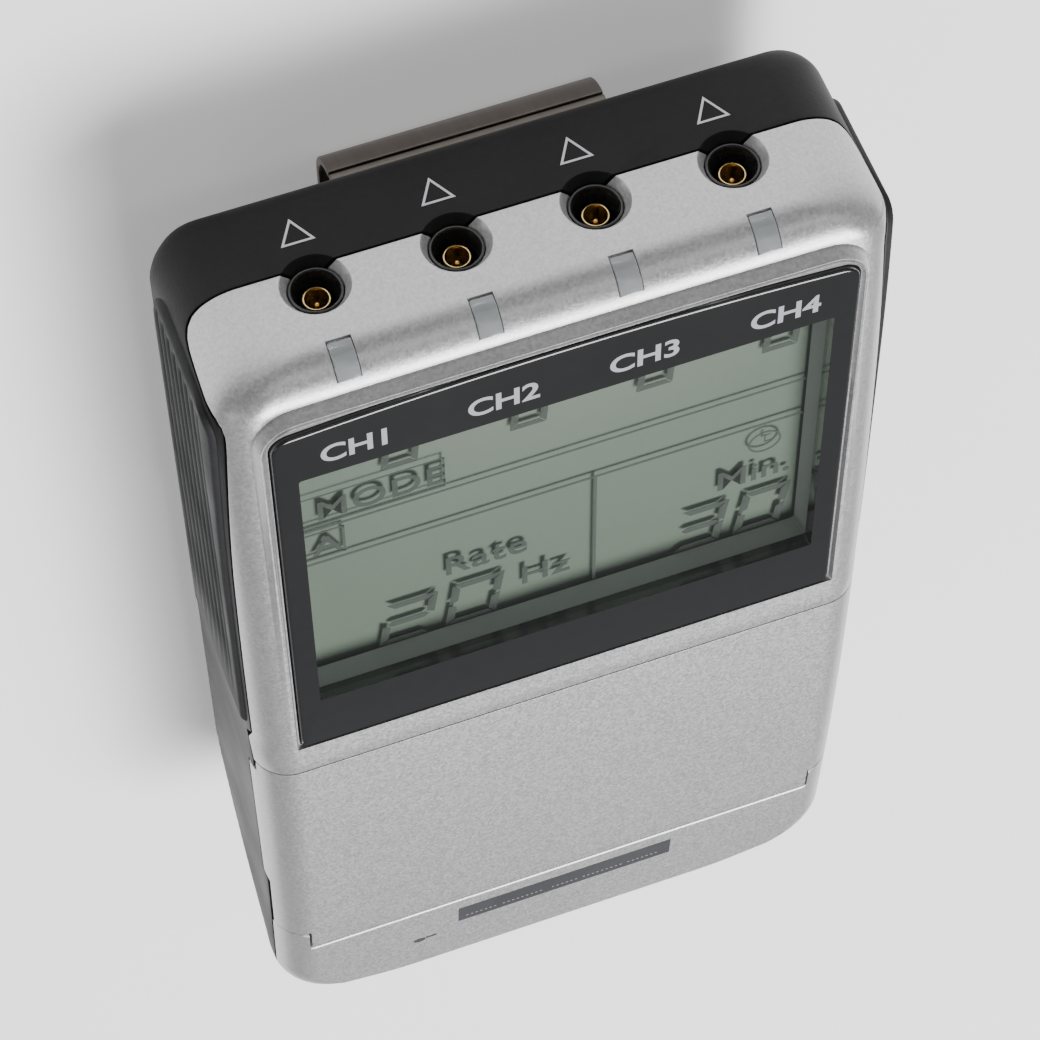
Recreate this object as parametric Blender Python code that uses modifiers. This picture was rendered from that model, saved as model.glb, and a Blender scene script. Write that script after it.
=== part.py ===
"""Four-channel pocket nerve stimulator: a two-shell housing with a display, a flip-down
cover over the keys, four lead jacks, a battery door on the back and a bent belt clip.

The unit lies on its back: +X is to the right, +Y points to the jack end and +Z comes out
of the front. The origin is under the middle of the unit, on the clip's outer face.
Dimensions below are in millimetres; meshes are made in metres.
"""

import math

import bmesh
import bpy
from mathutils import Matrix, Vector

MM = 0.001
GAP = 0.3

# Housing envelope
HALF_W = 39.2
Y_TOP = 74.5
Y_BOT = -74.5
Z_BACK = 10.6
Z_FRONT = 38.0
CORNER_TOP = 7.5
CORNER_BOT = 9.0
BOTTOM_BOW_R = 175.0
EDGE_SIDE = 5.0
EDGE_TOP = 4.6
EDGE_BOTTOM = 2.2
EDGE_BACK = 2.8
EDGE_BACK_LOW = 14.0
CROWN_Y = 6.9
CROWN_UP = 990.0
CROWN_LOW = 790.0
SWEEP_Y = -40.0
SWEEP_RISE = 19.0
WALL = 2.0

# Split between the shells
PART_TOP_Z = 22.1
PART_SIDE_Z = 34.7
SKIRT = 3.4
GRIP_PROUD = 0.5

# Display
LCD_Y = 35.7
VIEW_HALF_X = 30.9
VIEW_HALF_Y = 23.75
WINDOW_HALF_X = 33.6
WINDOW_BOTTOM = 2.1
WINDOW_TOP = 69.2
WINDOW_FLOOR = 35.95
FRAME_HALF_X = 35.3
FRAME_TOP = 70.5

# Cover
SEAM_Y = -3.6
COVER_T = 1.7
HINGE_Y = -52.5
HINGE_DROP = 2.0
HINGE_Z = 34.25
COVER_LOW = 2.3
LUG_X = 35.1
DECK_Z = 33.6
DECK_HALF_X = 36.0
EAR = (-36.6, -6.5, 32.3)

# Jacks and lights, one set for each channel
PITCH = 15.8
CHANNEL_X = [PITCH * (i - 1.5) for i in range(4)]
JACK_Z = 24.4
JACK_R = 3.5
LIGHT_HALF = 1.35

# Clip
CLIP_HALF = 16.2
CLIP_T = 1.0
BEND_R = 5.15
BEND_Y = 61.2
ARM_END = 4.0

# Battery bay
CELL_R = 7.1
CELL_Z = 20.2
CELL_PITCH = 14.6
CELL_X = [CELL_PITCH * (i - 1.5) for i in range(4)]
CELL_LOW = -43.8
CELL_LEN = 49.0
BAY = (-29.6, 29.6, -46.4, 7.6)

BOARD_Z = 28.5
BOARD_T = 1.2
SCREWS = [(-33.4, 66.4, 11.0), (33.4, 66.4, 11.0), (-26.5, -64.5, 17.2), (26.5, -64.5, 17.2)]


def clear_scene():
    for obj in list(bpy.data.objects):
        bpy.data.objects.remove(obj, do_unlink=True)
    for coll in list(bpy.data.collections):
        bpy.data.collections.remove(coll)


clear_scene()
PARTS = bpy.data.collections.new("tens_unit")
CUTTERS = bpy.data.collections.new("cutters")
bpy.context.scene.collection.children.link(PARTS)
bpy.context.scene.collection.children.link(CUTTERS)
CUTTERS.hide_render = True


def paint(name, color, roughness, metallic=0.0, alpha=1.0, transmission=0.0):
    mat = bpy.data.materials.new(name)
    mat.use_nodes = True
    shader = mat.node_tree.nodes["Principled BSDF"]
    shader.inputs["Base Color"].default_value = (*color, 1.0)
    shader.inputs["Roughness"].default_value = roughness
    shader.inputs["Metallic"].default_value = metallic
    shader.inputs["Alpha"].default_value = alpha
    shader.inputs["Transmission Weight"].default_value = transmission
    return mat


SILVER = paint("silver_paint", (0.56, 0.56, 0.57), 0.38, 0.6)
BLACK = paint("black_plastic", (0.018, 0.018, 0.018), 0.55)
RUBBER = paint("grip_rubber", (0.025, 0.026, 0.027), 0.75)
WINDOW = paint("window_panel", (0.04, 0.04, 0.04), 0.12)
LCD = paint("lcd_glass", (0.27, 0.31, 0.27), 0.2)
FROST = paint("frosted_clear", (0.75, 0.76, 0.76), 0.45, 0.0, 1.0, 0.6)
LIGHT = paint("led_lens", (0.45, 0.62, 0.25), 0.3)
GOLD = paint("gold_contact", (0.83, 0.62, 0.28), 0.25, 1.0)
STEEL = paint("plated_steel", (0.55, 0.54, 0.52), 0.35, 1.0)
BRONZE = paint("clip_steel", (0.14, 0.125, 0.11), 0.42, 0.9)
BOARD = paint("circuit_board", (0.02, 0.16, 0.06), 0.5)
KEYS = paint("key_grey", (0.16, 0.16, 0.17), 0.6)
MAT = paint("keypad_rubber", (0.3, 0.3, 0.31), 0.8)
CELL = paint("cell_wrap", (0.12, 0.13, 0.15), 0.35, 0.4)
FERRITE = paint("transformer", (0.05, 0.045, 0.04), 0.5)


def add(name, mesh, collection, mat=None, origin=None):
    obj = bpy.data.objects.new(name, mesh)
    collection.objects.link(obj)
    if mat is not None:
        mesh.materials.append(mat)
    if origin is not None:
        place = Vector(origin) * MM
        mesh.transform(Matrix.Translation(-place))
        obj.location = place
    if collection is CUTTERS:
        obj.hide_render = True
        obj.display_type = "WIRE"
    return obj


def smooth(obj, degrees=35):
    obj.data.shade_smooth()
    obj.data.set_sharp_from_angle(angle=math.radians(degrees))


def to_mesh(obj):
    """The evaluated mesh of a helper object, in world space, with its loose caps welded."""
    bpy.context.view_layer.update()
    graph = bpy.context.evaluated_depsgraph_get()
    mesh = bpy.data.meshes.new_from_object(obj.evaluated_get(graph), depsgraph=graph)
    mesh.transform(obj.matrix_world)
    form = bmesh.new()
    form.from_mesh(mesh)
    bmesh.ops.remove_doubles(form, verts=form.verts, dist=1e-7)
    bmesh.ops.recalc_face_normals(form, faces=form.faces)
    form.to_mesh(mesh)
    form.free()
    bpy.data.objects.remove(obj, do_unlink=True)
    mesh.materials.clear()
    return mesh


TURN = {
    "Z": Matrix.Identity(4),
    "X": Matrix(((0, 0, 1, 0), (1, 0, 0, 0), (0, 1, 0, 0), (0, 0, 0, 1))),
    "Y": Matrix(((0, 1, 0, 0), (0, 0, 1, 0), (1, 0, 0, 0), (0, 0, 0, 1))),
}


def plate(outline, lo, hi, axis="Z"):
    """A flat outline given thickness from lo to hi along the axis. The outline's two
    coordinates are (x, y) for Z, (y, z) for X and (z, x) for Y."""
    curve = bpy.data.curves.new("outline", "CURVE")
    curve.dimensions = "2D"
    curve.fill_mode = "BOTH"
    curve.extrude = (hi - lo) / 2 * MM
    line = curve.splines.new("POLY")
    line.points.add(len(outline) - 1)
    for point, (a, b) in zip(line.points, outline):
        point.co = (a * MM, b * MM, 0, 1)
    line.use_cyclic_u = True
    obj = bpy.data.objects.new("outline", curve)
    CUTTERS.objects.link(obj)
    obj.matrix_world = TURN[axis] @ Matrix.Translation((0, 0, (hi + lo) / 2 * MM))
    return to_mesh(obj)


def box(x0, x1, y0, y1, z0, z1, bevel=0.0, segments=2):
    form = bmesh.new()
    bmesh.ops.create_cube(form, size=1.0)
    bmesh.ops.scale(form, vec=Vector((x1 - x0, y1 - y0, z1 - z0)) * MM, verts=form.verts)
    centre = Vector((x0 + x1, y0 + y1, z0 + z1)) * (MM / 2)
    bmesh.ops.translate(form, vec=centre, verts=form.verts)
    if bevel:
        edges = form.edges[:]
        bmesh.ops.bevel(form, geom=edges, offset=bevel * MM, segments=segments, affect="EDGES", profile=0.5)
    mesh = bpy.data.meshes.new("box")
    form.to_mesh(mesh)
    form.free()
    return mesh


def turned(profile, centre, axis="Z", steps=24):
    """A turned solid. The profile lists (radius, height) from its top end to its lower end."""
    mesh = bpy.data.meshes.new("turned")
    points = [(r * MM, 0, h * MM) for r, h in profile]
    mesh.from_pydata(points, [(i, i + 1) for i in range(len(points) - 1)], [])
    obj = bpy.data.objects.new("turned", mesh)
    CUTTERS.objects.link(obj)
    screw = obj.modifiers.new("turn", "SCREW")
    screw.axis = "Z"
    screw.steps = steps
    screw.render_steps = steps
    screw.use_merge_vertices = True
    screw.merge_threshold = 1e-6
    obj.matrix_world = Matrix.Translation(Vector(centre) * MM) @ TURN[axis]
    return to_mesh(obj)


def rod(radius, lo, hi, centre, axis="Z", steps=24):
    """A cylinder along the axis from lo to hi; the centre gives its other two coordinates."""
    return turned([(0, hi), (radius, hi), (radius, lo), (0, lo)], centre, axis, steps)


def loft(rings):
    """A closed skin through rings of (x, y, z) points that all have the same count."""
    form = bmesh.new()
    rows = [[form.verts.new(Vector(p) * MM) for p in ring] for ring in rings]
    count = len(rows[0])
    for low, high in zip(rows, rows[1:]):
        for i in range(count):
            j = (i + 1) % count
            form.faces.new((low[i], low[j], high[j], high[i]))
    form.faces.new(rows[0][::-1])
    form.faces.new(rows[-1])
    bmesh.ops.triangulate(form, faces=[f for f in form.faces if len(f.verts) > 4])
    bmesh.ops.recalc_face_normals(form, faces=form.faces)
    mesh = bpy.data.meshes.new("loft")
    form.to_mesh(mesh)
    form.free()
    return mesh


def joined(*meshes):
    """Several separate closed skins in one mesh, for a cutter."""
    form = bmesh.new()
    for mesh in meshes:
        form.from_mesh(mesh)
    out = bpy.data.meshes.new("joined")
    form.to_mesh(out)
    form.free()
    return out


def combine(obj, mesh, operation, label):
    tool = add(f"{obj.name}_{label}", mesh, CUTTERS)
    mod = obj.modifiers.new(label, "BOOLEAN")
    mod.operation = operation
    mod.solver = "EXACT"
    mod.object = tool
    return tool


def cut(obj, mesh, label):
    return combine(obj, mesh, "DIFFERENCE", label)


def join(obj, mesh, label):
    return combine(obj, mesh, "UNION", label)


def keep(obj, mesh, label):
    return combine(obj, mesh, "INTERSECT", label)


# ---- the housing's envelope ----


def fall(depth, radius):
    """How far a rounded edge stands back at this depth from its end."""
    if radius <= 0 or depth >= radius:
        return 0.0
    return radius - math.sqrt(max(0.0, radius**2 - (radius - depth) ** 2))


def front_z(y):
    if y > CROWN_Y:
        return Z_FRONT - (y - CROWN_Y) ** 2 / (2 * CROWN_UP)
    if y < 0:
        return Z_FRONT - y * y / (2 * CROWN_LOW)
    return Z_FRONT


def back_z(y, inset=0.0):
    run = SWEEP_Y - Y_BOT - inset
    u = min(1.0, max(0.0, (SWEEP_Y - y) / run))
    return Z_BACK + inset + (SWEEP_RISE - inset) * (1 - math.sqrt(1 - u * u))


def end_half_width(depth):
    """Half the bottom end's width at this depth: a shallow bow, then the corners."""
    bow_x = HALF_W - CORNER_BOT
    bow = bow_x**2 / (2 * BOTTOM_BOW_R)
    if depth < bow:
        return math.sqrt(2 * BOTTOM_BOW_R * max(depth, 0.0))
    u = min(1.0, (depth - bow) / (CORNER_BOT - 0.6))
    return bow_x + CORNER_BOT * math.sqrt(1 - (1 - u) ** 2)


def section(y, inset, turns):
    """The housing's outline across X and Z at this y, inset by a wall thickness."""
    top = Y_TOP - inset - y
    low = y - Y_BOT - inset
    half = HALF_W - inset - fall(top, CORNER_TOP - inset)
    half = min(half, max(2.0, end_half_width(low) - inset))
    high = front_z(y) - inset - fall(top, EDGE_TOP - inset) - fall(low, EDGE_BOTTOM - inset)
    base = back_z(y, inset) + fall(top, max(EDGE_BACK - inset, 0.5))
    share = min(1.0, max(0.0, (-34.0 - y) / 28.0))
    r_front = max(EDGE_SIDE - inset, 0.5)
    r_back = max(EDGE_BACK + share * (EDGE_BACK_LOW - EDGE_BACK) - inset, 0.5)
    limit = min(1.0, (high - base) * 0.96 / (r_front + r_back))
    limit_w = half * 0.9
    r_front = min(r_front * limit, limit_w)
    r_back = min(r_back * limit, limit_w)
    ring = []
    for sx, sz, radius in ((1, -1, r_back), (1, 1, r_front), (-1, 1, r_front), (-1, -1, r_back)):
        cx = sx * (half - radius)
        cz = (high - radius) if sz > 0 else (base + radius)
        for k in range(turns + 1):
            a = math.pi / 2 * k / turns
            if sx * sz < 0:
                dx, dz = math.sin(a), math.cos(a)
            else:
                dx, dz = math.cos(a), math.sin(a)
            ring.append((cx + sx * radius * dx, y, cz + sz * radius * dz))
    return ring


def envelope(inset=0.0, turns=5, fine=True):
    """The housing's whole outer form, or the same form inset by a wall thickness."""
    ends = (0, 0.35, 1.1, 2.2, 3.4, 4.8, 7.5) if fine else (0, 0.8, 2.5, 5.0)
    ys = [Y_TOP - inset - d for d in ends]
    ys += [58, 46, 33, 20, 7, 0, -12, -24, -34, -41, -47, -52] if fine else [55, 30, 7, -20, -34, -46]
    lows = (17.5, 13.2, 9.6, 7.0, 5.0, 3.4, 2.2, 1.3, 0.6, 0.0) if fine else (17, 11, 7, 4, 2, 0.6)
    ys += [Y_BOT + inset + d for d in lows]
    return loft([section(y, inset, turns) for y in ys])


def arc(cx, cy, radius, start, end, count):
    return [
        (
            cx + radius * math.cos(math.radians(start + (end - start) * i / count)),
            cy + radius * math.sin(math.radians(start + (end - start) * i / count)),
        )
        for i in range(count + 1)
    ]


def rounded(x0, x1, y0, y1, low_r, top_r, count=4, bow=0.0):
    """A rectangle's outline with rounded corners; bow lifts the middle of its top edge."""
    pts = arc(x0 + low_r, y0 + low_r, low_r, 180, 270, count)
    pts += arc(x1 - low_r, y0 + low_r, low_r, 270, 360, count)
    pts += arc(x1 - top_r, y1 - top_r - bow, top_r, 0, 80, count)
    for i in range(1, 8):
        x = (x1 - top_r) + (x0 - x1 + 2 * top_r) * i / 8
        pts.append((x, y1 - bow * (x / (x1 - top_r)) ** 2))
    pts += arc(x0 + top_r, y1 - top_r - bow, top_r, 100, 180, count)
    return pts


def split_outline(offset):
    """The side view of everything above the line where the two shells meet."""
    pts = [(90, 60), (-90, 60)]
    pts += [(y, front_z(y) - SKIRT - 0.3 - offset) for y in (-90, -74, -66, -58, -50, -40, -28, -16)]
    pts += [(SEAM_Y, front_z(SEAM_Y) - SKIRT - 0.3 - offset), (SEAM_Y + 6, PART_SIDE_Z - 1.2 - offset)]
    pts += [(SEAM_Y + 7, PART_SIDE_Z - offset), (40, PART_SIDE_Z - offset), (58, 34.9 - offset)]
    corner = [(66, 34.9), (68.2, 34.5), (69.4, 33.5), (70.0, 31.8), (70.3, 28.0), (70.6, 25.0), (71.2, 23.4)]
    pts += [(y - offset, z - offset) for y, z in corner + [(72.4, 22.4), (74.0, PART_TOP_Z)]]
    pts += [(90, PART_TOP_Z - offset)]
    return pts


# ---- front shell ----

front = add("front_housing", envelope(), PARTS, SILVER)
keep(front, plate(split_outline(0.0), -60, 60, "X"), "above_split")
frame_outline = rounded(-FRAME_HALF_X, FRAME_HALF_X, 18, FRAME_TOP, 1.0, 5.0, 4, 0.25)
join(front, plate(frame_outline, 34.6, Z_FRONT), "display_frame")
recess = [(SEAM_Y, 50), (SEAM_Y, DECK_Z), (HINGE_Y + 3.6, DECK_Z), (HINGE_Y + 3.2, 31.4)]
recess += [(HINGE_Y - 1.8, 31.2), (HINGE_Y - COVER_LOW - GAP, 33.0)]
recess += [(HINGE_Y - COVER_LOW - GAP - 0.1, 35.0), (HINGE_Y - COVER_LOW - GAP - 1.4, 36.6)]
recess += [(HINGE_Y - COVER_LOW - GAP - 1.4, 50)]
hinge_block = box(-35.0, 35.0, -58.5, -46.5, 29.9, 34.5)
cavity_top = box(-37.2, 37.2, -1.2, 72.3, 10, 34.2, 2.4)
cavity_chin = box(-33.0, 33.0, -70.5, -60.0, 10, 32.6, 1.5)
cut(front, joined(cavity_top, cavity_chin), "cavities")
join(front, box(-36.4, 36.4, -6.0, -1.0, 32.1, 36.0), "riser")
join(front, box(-36.0, 36.0, -46.7, -2.0, 32.0, 33.9), "deck")
join(front, hinge_block, "hinge_block")
cut(front, plate(recess, -LUG_X, LUG_X, "X"), "cover_recess")
lug = [(SEAM_Y, 50), (SEAM_Y, DECK_Z), (HINGE_Y + 2.0, DECK_Z)]
lug += arc(HINGE_Y, HINGE_Z, HINGE_DROP, -15, 90, 7)
lug += [(HINGE_Y, 50)]
cut(front, joined(plate(lug, LUG_X - 0.4, 45, "X"), plate(lug, -45, 0.4 - LUG_X, "X")), "beside_lugs")
strip_y = HINGE_Y + 2.35
side_strips = joined(
    box(DECK_HALF_X, 46, strip_y, SEAM_Y, 0, 52), box(-46, -DECK_HALF_X, strip_y, SEAM_Y, 0, 52)
)
cut(front, side_strips, "side_strips")
cut(
    front,
    joined(
        rod(1.05, 34.0, 37.0, (0, HINGE_Y, HINGE_Z), "X", 16),
        rod(1.05, -37.0, -34.0, (0, HINGE_Y, HINGE_Z), "X", 16),
    ),
    "hinge_holes",
)
pocket = rounded(
    -WINDOW_HALF_X - GAP, WINDOW_HALF_X + GAP, WINDOW_BOTTOM - GAP, WINDOW_TOP + GAP, 0.8, 2.6, 3, 1.3
)
cut(front, plate(pocket, WINDOW_FLOOR, 45), "window_pocket")
view = box(
    -VIEW_HALF_X - 0.6, VIEW_HALF_X + 0.6, LCD_Y - VIEW_HALF_Y - 0.6, LCD_Y + VIEW_HALF_Y + 0.6, 30, 45
)
cut(front, view, "display_opening")
light_holes = [
    box(x - LIGHT_HALF - GAP, x + LIGHT_HALF + GAP, 71.6, 80, 31.5, 45) for x in CHANNEL_X
]
cut(front, joined(*light_holes), "light_holes")
jack_holes = [rod(JACK_R + GAP, 55, 80, (x, 0, JACK_Z), "Y", 24) for x in CHANNEL_X]
cut(front, joined(*jack_holes), "jack_holes")
bosses = [rod(2.8, 26.4, 34.8, (x, y, 0), "Z", 16) for x, y, _ in SCREWS[:2]]
bosses += [rod(2.8, 26.4, 33.2, (x, y, 0), "Z", 16) for x, y, _ in SCREWS[2:]]
join(front, joined(*bosses), "bosses")
cut(front, joined(*[rod(1.5, 20, 32.4, (x, y, 0), "Z", 12) for x, y, _ in SCREWS]), "boss_holes")

CHANNEL_KEYS_Y = {"up": -13.0, "down": -24.0}
FUNCTION_KEYS = ["mode", "set", "minus", "plus"]
KEY_X = [16.8 * (i - 1.5) for i in range(4)]


def pill(x, y, length, width, grow=0.0, count=4):
    """A rounded key's outline; every size has the same number of points."""
    half_x = length / 2 + grow
    half_y = width / 2 + grow
    radius = min(half_x, half_y) * 0.72
    pts = arc(x + half_x - radius, y + half_y - radius, radius, 0, 90, count)
    pts += arc(x - half_x + radius, y + half_y - radius, radius, 90, 180, count)
    pts += arc(x - half_x + radius, y - half_y + radius, radius, 180, 270, count)
    pts += arc(x + half_x - radius, y - half_y + radius, radius, 270, 360, count)
    return pts


KEYS_AT = {}
for i, x in enumerate(KEY_X):
    for way, y in CHANNEL_KEYS_Y.items():
        KEYS_AT[f"button_ch{i + 1}_{way}"] = (x, y, 9.6, 6.6)
    KEYS_AT[f"button_{FUNCTION_KEYS[i]}"] = (x, -37.5, 11.0, 6.2)
key_holes = [plate(pill(*at, GAP, 3), 30, 36) for at in KEYS_AT.values()]
cut(front, joined(*key_holes), "key_holes")
smooth(front, 30)

# ---- rear shell ----

rear = add("rear_housing", envelope(), PARTS, BLACK)
cut(rear, plate(split_outline(GAP), -60, 60, "X"), "below_split")
cavity = envelope(WALL, 3, False)
upper = add("rear_cavity_upper", cavity, CUTTERS)
keep(upper, box(-60, 60, -47.1, 90, 0, 60), "upper_limit")
mod = rear.modifiers.new("upper_cavity", "BOOLEAN")
mod.operation = "DIFFERENCE"
mod.object = upper
lower = add("rear_cavity_lower", envelope(4.3, 3, False), CUTTERS)
keep(lower, box(-60, 60, -70, -49.0, 0, 60), "lower_limit")
mod = rear.modifiers.new("lower_cavity", "BOOLEAN")
mod.operation = "DIFFERENCE"
mod.object = lower
cut(rear, box(-36.9, 36.9, 38.0, 67.6, 30.0, 60), "frame_room")
cut(rear, box(-36.0, 36.0, 60.0, 70.9, 30.5, 61), "end_room")
cut(rear, box(-35.4, 35.4, -58.9, -46.1, 29.5, 60), "hinge_room")
cut(rear, box(-32.5, 32.5, -69.4, -49.5, 25.0, 60), "chin_room")
join(rear, box(BAY[0] - 1.2, BAY[1] + 1.2, BAY[2] - 1.2, BAY[3] + 1.2, 11.6, 28.2), "battery_bay")
cut(rear, box(BAY[0], BAY[1], BAY[2], BAY[3], 5, 27.5), "bay_inside")
DOOR_HALF = 30.2
DOOR_TOP = 8.3
DOOR_LOW = -58.0
pocket_low = add("door_pocket", envelope(-1.0, 5, True), CUTTERS)
cut(pocket_low, envelope(2.1, 5, True), "pocket_depth")
keep(pocket_low, box(-DOOR_HALF - GAP, DOOR_HALF + GAP, DOOR_LOW - GAP, DOOR_TOP + GAP, 0, 30), "limit")
mod = rear.modifiers.new("door_pocket", "BOOLEAN")
mod.operation = "DIFFERENCE"
mod.object = pocket_low
posts = [rod(2.8, 11.4, 26.0, (x, y, 0), "Z", 16) for x, y, _ in SCREWS[:2]]
posts += [rod(2.8, 17.8, 26.0, (x, y, 0), "Z", 16) for x, y, _ in SCREWS[2:]]
join(rear, joined(*posts), "posts")
wells = [rod(2.4, 5, z + 1.9, (x, y, 0), "Z", 16) for x, y, z in SCREWS]
cut(rear, joined(*wells), "head_wells")
cut(rear, joined(*[rod(1.5, 8, 30, (x, y, 0), "Z", 12) for x, y, _ in SCREWS]), "screw_holes")
cut(rear, joined(*[rod(JACK_R + GAP, 55, 80, (x, 0, JACK_Z), "Y", 24) for x in CHANNEL_X]), "jack_holes")
ear_slots = joined(
    box(36.8, 45, EAR[0] - GAP, EAR[1] + GAP, EAR[2] - GAP, 50),
    box(-45, -36.8, EAR[0] - GAP, EAR[1] + GAP, EAR[2] - GAP, 50),
)
cut(rear, ear_slots, "ear_slots")
cut(rear, rod(1.3, 5, 20, (0, 36, 0), "Z", 12), "clip_screw_hole")


def grip_outline(grow=0.0):
    """The side view of a side grip: a long panel that follows the front shell's edge."""
    low = SEAM_Y + 8.2 - grow
    pts = [(low, 14.5 - grow), (low, PART_SIDE_Z - 1.0 + grow), (40, PART_SIDE_Z - 1.0 + grow)]
    pts += [(58, 33.9 + grow), (65.6, 33.9 + grow), (67.6 + grow, 33.2), (68.7 + grow, 31.4)]
    pts += [(69.2 + grow, 28.0), (69.5 + grow, 22.0), (69.4 + grow, 17.6), (67.6 + grow, 15.3 - grow)]
    pts += [(64, 14.5 - grow)]
    return pts


grip_slot = add("grip_slot", envelope(-3.0, 5, True), CUTTERS)
cut(grip_slot, envelope(0.9, 5, True), "slot_depth")
keep(
    grip_slot,
    joined(
        plate(grip_outline(GAP), 30, 60, "X"),
        plate(grip_outline(GAP), -60, -30, "X"),
    ),
    "slot_outline",
)
mod = rear.modifiers.new("grip_slots", "BOOLEAN")
mod.operation = "DIFFERENCE"
mod.object = grip_slot
smooth(rear, 30)

for side, lo, hi in (("left", -60, -30), ("right", 30, 60)):
    grip = add(f"side_grip_{side}", envelope(-GRIP_PROUD, 5, True), PARTS, RUBBER)
    cut(grip, envelope(0.6, 5, True), "hollow")
    keep(grip, plate(grip_outline(), lo, hi, "X"), "outline")
    smooth(grip, 30)

# ---- cover ----

cover = add("flip_cover", envelope(), PARTS, SILVER)
cut(cover, envelope(COVER_T, 5, True), "hollow")
side = [(SEAM_Y - GAP, 50), (SEAM_Y - GAP, front_z(0) - SKIRT)]
side += [(EAR[1], front_z(0) - SKIRT), (EAR[1], EAR[2]), (EAR[0], EAR[2])]
side += [(EAR[0] - 0.5, front_z(EAR[0]) - SKIRT), (HINGE_Y + 2.4, front_z(HINGE_Y) - SKIRT)]
side += [(HINGE_Y - 1.0, HINGE_Z - 0.6)]
side += [(HINGE_Y - COVER_LOW, HINGE_Z - 0.3), (HINGE_Y - COVER_LOW, HINGE_Z + 0.7)]
side += arc(HINGE_Y - 1.0, HINGE_Z + 0.7, 1.3, 172, 98, 3) + [(HINGE_Y - 0.9, 50)]
keep(cover, plate(side, -60, 60, "X"), "side_view")
notch_edge = [(HINGE_Y - 8, 50), (HINGE_Y - 8, 20), (HINGE_Y + 2.4, 20), (HINGE_Y + 2.4, 50)]
cut(
    cover,
    joined(plate(notch_edge, LUG_X - GAP, 60, "X"), plate(notch_edge, -60, -LUG_X + GAP, "X")),
    "lug_notches",
)
join(
    cover,
    joined(
        rod(0.75, 33.6, 36.4, (0, HINGE_Y, HINGE_Z), "X", 12),
        rod(0.75, -36.4, -33.6, (0, HINGE_Y, HINGE_Z), "X", 12),
    ),
    "hinge_pins",
)
place = Vector((0, HINGE_Y, HINGE_Z)) * MM
hinge = bpy.data.objects.new("cover_hinge", None)
hinge.location = place
PARTS.objects.link(hinge)
cover.parent = hinge
cover.matrix_parent_inverse = Matrix.Translation(-place)
smooth(cover, 30)

# ---- display stack ----

pane = rounded(-WINDOW_HALF_X, WINDOW_HALF_X, WINDOW_BOTTOM, WINDOW_TOP, 0.6, 2.4, 3, 1.3)
add("display_window", plate(pane, WINDOW_FLOOR + GAP, 37.75), PARTS, WINDOW)
add("lcd_glass", box(-33.0, 33.0, 9.6, 61.8, 31.9, 33.9), PARTS, LCD)
holder = add("lcd_holder", box(-35.0, 35.0, 7.0, 63.2, 30.2, 33.8, 0.6, 1), PARTS, BLACK)
cut(holder, box(-33.3, 33.3, 9.3, 62.1, 31.6, 40), "seat")
cut(holder, box(-29.0, 29.0, 18.0, 58.0, 20, 40), "window")
add("lcd_connector", box(-24.0, 24.0, 11.5, 13.7, 30.0, 31.3), PARTS, MAT)
cut(holder, box(-24.3, 24.3, 11.2, 14.0, 20, 40), "connector_slot")

# ---- board and what it carries ----

board_edge = [(-36.0, -45.5), (36.0, -45.5), (36.0, 59.8), (29.2, 59.8), (29.2, 67.5)]
board_edge += [(-29.2, 67.5), (-29.2, 59.8), (-36.0, 59.8)]
add("main_board", plate(board_edge, BOARD_Z, BOARD_Z + BOARD_T), PARTS, BOARD)
for i, x in enumerate(CHANNEL_X):
    n = i + 1
    jack = [(0, 64.4), (1.9, 64.4), (1.9, 64.6), (3.0, 64.6), (3.0, 73.6), (3.2, 73.9)]
    jack += [(JACK_R - 0.1, 73.9), (JACK_R, 73.7), (JACK_R, 61.0), (0, 61.0)]
    add(f"lead_jack_{n}", turned(jack, (x, 0, JACK_Z), "Y", 20), PARTS, BLACK)
    pin = [(0, 68.9), (0.35, 68.7), (0.5, 68.2), (0.5, 65.6), (1.25, 65.6), (1.25, 67.6)]
    pin += [(1.55, 67.6), (1.55, 64.7), (0, 64.7)]
    add(f"jack_pin_{n}", turned(pin, (x, 0, JACK_Z), "Y", 14), PARTS, GOLD)
    pane_x = add(f"light_window_{n}", envelope(0.0, 5, True), PARTS, FROST)
    cut(pane_x, envelope(1.7, 5, True), "hollow")
    keep(pane_x, box(x - LIGHT_HALF, x + LIGHT_HALF, 71.9, 80, 31.8, 45), "outline")
    smooth(pane_x, 30)
    lens = [(0, 71.3), (0.6, 71.1), (0.9, 70.5), (0.9, 68.4), (1.2, 68.4), (1.2, 67.9), (0, 67.9)]
    add(f"channel_light_{n}", turned(lens, (x, 0, 31.4), "Y", 12), PARTS, LIGHT)
    size = 5.6
    add(f"transformer_{n}", box(x - size, x + size, 42, 54.5, 15.5, 28.2, 0.5, 1), PARTS, FERRITE)

# ---- keys ----

for name, (x, y, length, width) in KEYS_AT.items():
    levels = [(0.9, 31.0), (0.9, 31.8), (0.0, 31.8), (0.0, 34.2), (-0.4, 34.6)]
    rings = [[(px, py, z) for px, py in pill(x, y, length, width, grow, 3)] for grow, z in levels]
    key = add(name, loft(rings), PARTS, KEYS, (x, y, 31.0))
    smooth(key, 40)
add("keypad_mat", box(-34.5, 34.5, -43.0, -6.0, BOARD_Z + BOARD_T + GAP, 30.5), PARTS, MAT)

# ---- battery bay ----

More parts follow.
